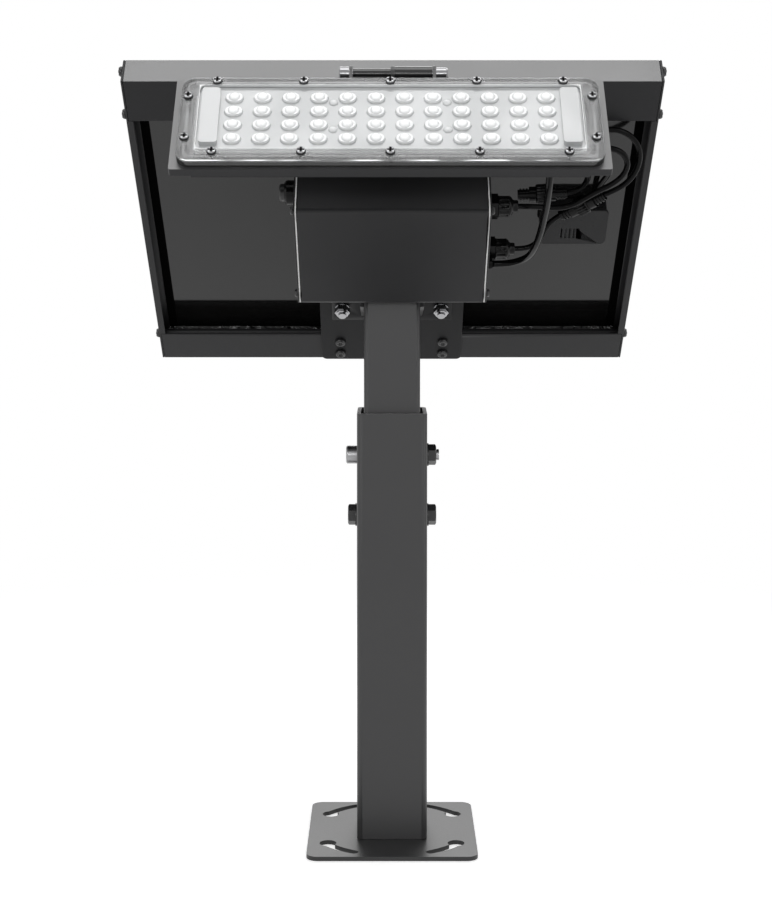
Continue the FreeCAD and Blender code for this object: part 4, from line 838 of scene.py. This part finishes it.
def gland_caps():
    """Domed clamping nuts of the cable glands, with grip flutes and a flat lip round the lead."""
    bm = bmesh.new()
    for points in solids_of("gland_domes"):
        place, mid, low, high, radius = measured(points, ACROSS)
        seat = place @ Matrix.Translation((mid.x, mid.y, low))
        h = high - low
        profile = [(up * h, out * radius) for up, out in GLAND_PROFILE]
        fluted_sleeve(bm, seat, profile, 12, FLUTE_DEPTH, (0.08 * h, 0.52 * h))
    return new_piece("gland_caps", bm, "head", "black_plastic", "gland_domes")


def coupling_rings():
    """Knurled rings that lock the inline connectors."""
    bm = bmesh.new()
    supply_end, panel_end = in_head(SUPPLY_ROUTE[-1]), in_head(PANEL_ROUTE[0])
    spare_end = in_head(SPARE_ROUTE[-1])
    spare_tip = in_head(Vector(SPARE_ROUTE[-1]) + Vector(SPARE_REACH))
    length = 9.0 * MM
    radius = 7.0 * MM
    edge = 0.8 * MM
    for start, end in ((supply_end, panel_end), (spare_end, spare_tip)):
        axis = (end - start).normalized()
        seat = axis_frame((start + end) / 2 - axis * length / 2, axis)
        profile = [
            (0, radius - edge), (edge, radius), (1.2 * edge, radius),
            (length - 1.2 * edge, radius), (length - edge, radius), (length, radius - edge)]
        fluted_sleeve(bm, seat, profile, 20, FLUTE_DEPTH, (1.1 * edge, length - 1.1 * edge))
    return new_piece("coupling_rings", bm, "head", "black_plastic", "connector_rings")


# Leads
def lead_line(name, points):
    """Smooth line of a lead on its route's points."""
    data = bpy.data.curves.new(name, "CURVE")
    data.dimensions = "3D"
    spline = data.splines.new("NURBS")
    spline.points.add(len(points) - 1)
    for control, point in zip(spline.points, points):
        control.co = (point.x, point.y, point.z, 1)
    spline.order_u = 3
    spline.use_endpoint_u = True
    data.resolution_u = 8
    return data


def free_lead(name, route, diameter):
    """A lead that rides on the head as one bevelled curve."""
    points = [in_head(p) for p in route]
    data = lead_line(name, points)
    data.bevel_depth = diameter * MM / 2
    data.bevel_resolution = 5
    data.use_fill_caps = True
    data.materials.append(finishes["black_rubber"])
    piece = bpy.data.objects.new(name + "_line", data)
    scene.collection.objects.link(piece)
    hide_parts(name)
    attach(piece, "head")
    return piece


def line_points(name, points):
    """Points read from the smooth line of a route."""
    data = lead_line(name, points)
    holder = bpy.data.objects.new(name, data)
    mesh = bpy.data.meshes.new_from_object(holder)
    found = [v.co.copy() for v in mesh.vertices]
    bpy.data.objects.remove(holder)
    bpy.data.meshes.remove(mesh)
    return found


def tube(bm, path, radius, sides):
    """Round tube along a path, with its frame carried along without twist."""
    normal = None
    loops = []
    for i, point in enumerate(path):
        ahead = path[min(i + 1, len(path) - 1)] - path[max(i - 1, 0)]
        tangent = ahead.normalized()
        if normal is None:
            normal = tangent.orthogonal().normalized()
        normal = (normal - tangent * normal.dot(tangent)).normalized()
        side = tangent.cross(normal)
        loop = []
        for k in range(sides):
            angle = 2 * math.pi * k / sides
            out = normal * math.cos(angle) + side * math.sin(angle)
            loop.append(bm.verts.new(point + out * radius))
        loops.append(loop)
    for low, high in zip(loops, loops[1:]):
        for k in range(sides):
            j = (k + 1) % sides
            bm.faces.new((low[k], low[j], high[j], high[k]))
    bm.faces.new(list(reversed(loops[0])))
    bm.faces.new(loops[-1])


def lamp_lead():
    """Cable from the battery box to the lamp, as a round tube along its route."""
    points = [in_head(p) for p in reversed(LAMP_ROUTE)]
    path = line_points("lamp_cable_route", points)
    bm = bmesh.new()
    tube(bm, path, LAMP_CABLE_D * MM / 2, 20)
    piece = new_piece("lamp_cable_line", bm, None, "black_rubber", "lamp_cable")
    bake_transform(piece)
    return piece


# Stage, light and camera
def pale_floor():
    """Pale floor that fades to the white surround and keeps the object's shadow."""
    bpy.ops.mesh.primitive_circle_add(vertices=96, radius=6.0, fill_type="NGON")
    floor = bpy.context.object
    floor.name = "floor"
    floor.location.z = -0.0005
    finish = Finish("pale_floor")
    x, y, _ = finish.split(finish.place())
    reach = (x * x + y * y) ** 0.5
    matt = finish.add("BsdfDiffuse", None, {"Color": grey(0.80)})
    pale = finish.add("BsdfDiffuse", None, {"Color": grey(0.86)})
    lift = finish.add("Emission", None, {"Color": grey(1.0), "Strength": 0.60})
    lit = finish.add("AddShader", None, {0: pale, 1: lift})
    white = finish.add("Emission", None, {"Color": grey(1.0), "Strength": WHITE})
    seen = finish.add("MixShader", None, {0: reach.rise(0.25, 1.0), 1: lit, 2: white})
    ray = finish.add("LightPath", output="Is Camera Ray")
    mirrored = finish.add("LightPath", output="Is Glossy Ray")
    through = finish.add("LightPath", output="Is Transmission Ray")
    watched = ray.higher(mirrored).higher(through)
    shader = finish.add("MixShader", None, {0: watched, 1: matt, 2: seen})
    floor.data.materials.append(finish.close(shader))


def white_surround():
    """White behind the object and in its reflections, with a soft grey fill for everything else."""
    world = bpy.data.worlds.new("surround")
    world.use_nodes = True
    scene.world = world
    tree = world.node_tree
    tree.nodes.clear()
    path = tree.nodes.new("ShaderNodeLightPath")
    seen = tree.nodes.new("ShaderNodeMath")
    seen.operation = "MAXIMUM"
    tree.links.new(path.outputs["Is Camera Ray"], seen.inputs[0])
    tree.links.new(path.outputs["Is Glossy Ray"], seen.inputs[1])
    watched = tree.nodes.new("ShaderNodeMath")
    watched.operation = "MAXIMUM"
    tree.links.new(seen.outputs[0], watched.inputs[0])
    tree.links.new(path.outputs["Is Transmission Ray"], watched.inputs[1])
    strength = tree.nodes.new("ShaderNodeMapRange")
    strength.inputs["To Min"].default_value = SOFT_FILL
    strength.inputs["To Max"].default_value = WHITE
    tree.links.new(watched.outputs[0], strength.inputs["Value"])
    ground = tree.nodes.new("ShaderNodeBackground")
    ground.inputs["Color"].default_value = grey(1.0)
    tree.links.new(strength.outputs["Result"], ground.inputs["Strength"])
    output = tree.nodes.new("ShaderNodeOutputWorld")
    tree.links.new(ground.outputs[0], output.inputs["Surface"])


def softbox(name, place, target, size, energy):
    data = bpy.data.lights.new(name, "AREA")
    data.shape = "RECTANGLE"
    data.size, data.size_y = size
    data.energy = energy
    lamp = bpy.data.objects.new(name, data)
    scene.collection.objects.link(lamp)
    lamp.location = place
    lamp.rotation_mode = "QUATERNION"
    lamp.rotation_quaternion = (Vector(target) - Vector(place)).to_track_quat("-Z", "Y")
    lamp.visible_camera = False


def studio_light():
    softbox("overhead", (0, -0.28, 1.75), (0, -0.16, 0.5), (1.2, 0.7), 9)
    softbox("left_front", (-1.5, -1.5, 1.1), (0, 0, 0.4), (1.0, 1.4), 7)
    softbox("right_front", (1.7, -1.2, 0.9), (0, 0, 0.4), (0.9, 1.4), 5)
    softbox("key", (0.0, -1.9, 0.66), (0.05, 0, 0.45), (0.5, 0.12), 3)
    softbox("behind", (0.3, 1.6, 1.4), (0, 0, 0.4), (1.6, 1.0), 12)


def photo_camera():
    data = bpy.data.cameras.new("camera")
    data.sensor_width = CAMERA_SENSOR
    data.lens = CAMERA_LENS
    data.shift_y = CAMERA_SHIFT
    camera = bpy.data.objects.new("camera", data)
    scene.collection.objects.link(camera)
    camera.location = CAMERA_PLACE
    camera.rotation_euler = (math.radians(90 - CAMERA_DROP), 0, 0)
    scene.camera = camera


scene.view_settings.view_transform = "Standard"
photo_camera()
white_surround()
studio_light()
pale_floor()

dress_nodes()
break_edges()
for screws in SCREW_SETS:
    detailed_screws(*screws)
gland_caps()
rings = coupling_rings()
free_lead("supply_lead", SUPPLY_ROUTE, LEAD_D)
free_lead("panel_lead", list(reversed(PANEL_ROUTE)), LEAD_D)
free_lead("spare_lead", SPARE_ROUTE, LEAD_D)
lamp_lead()
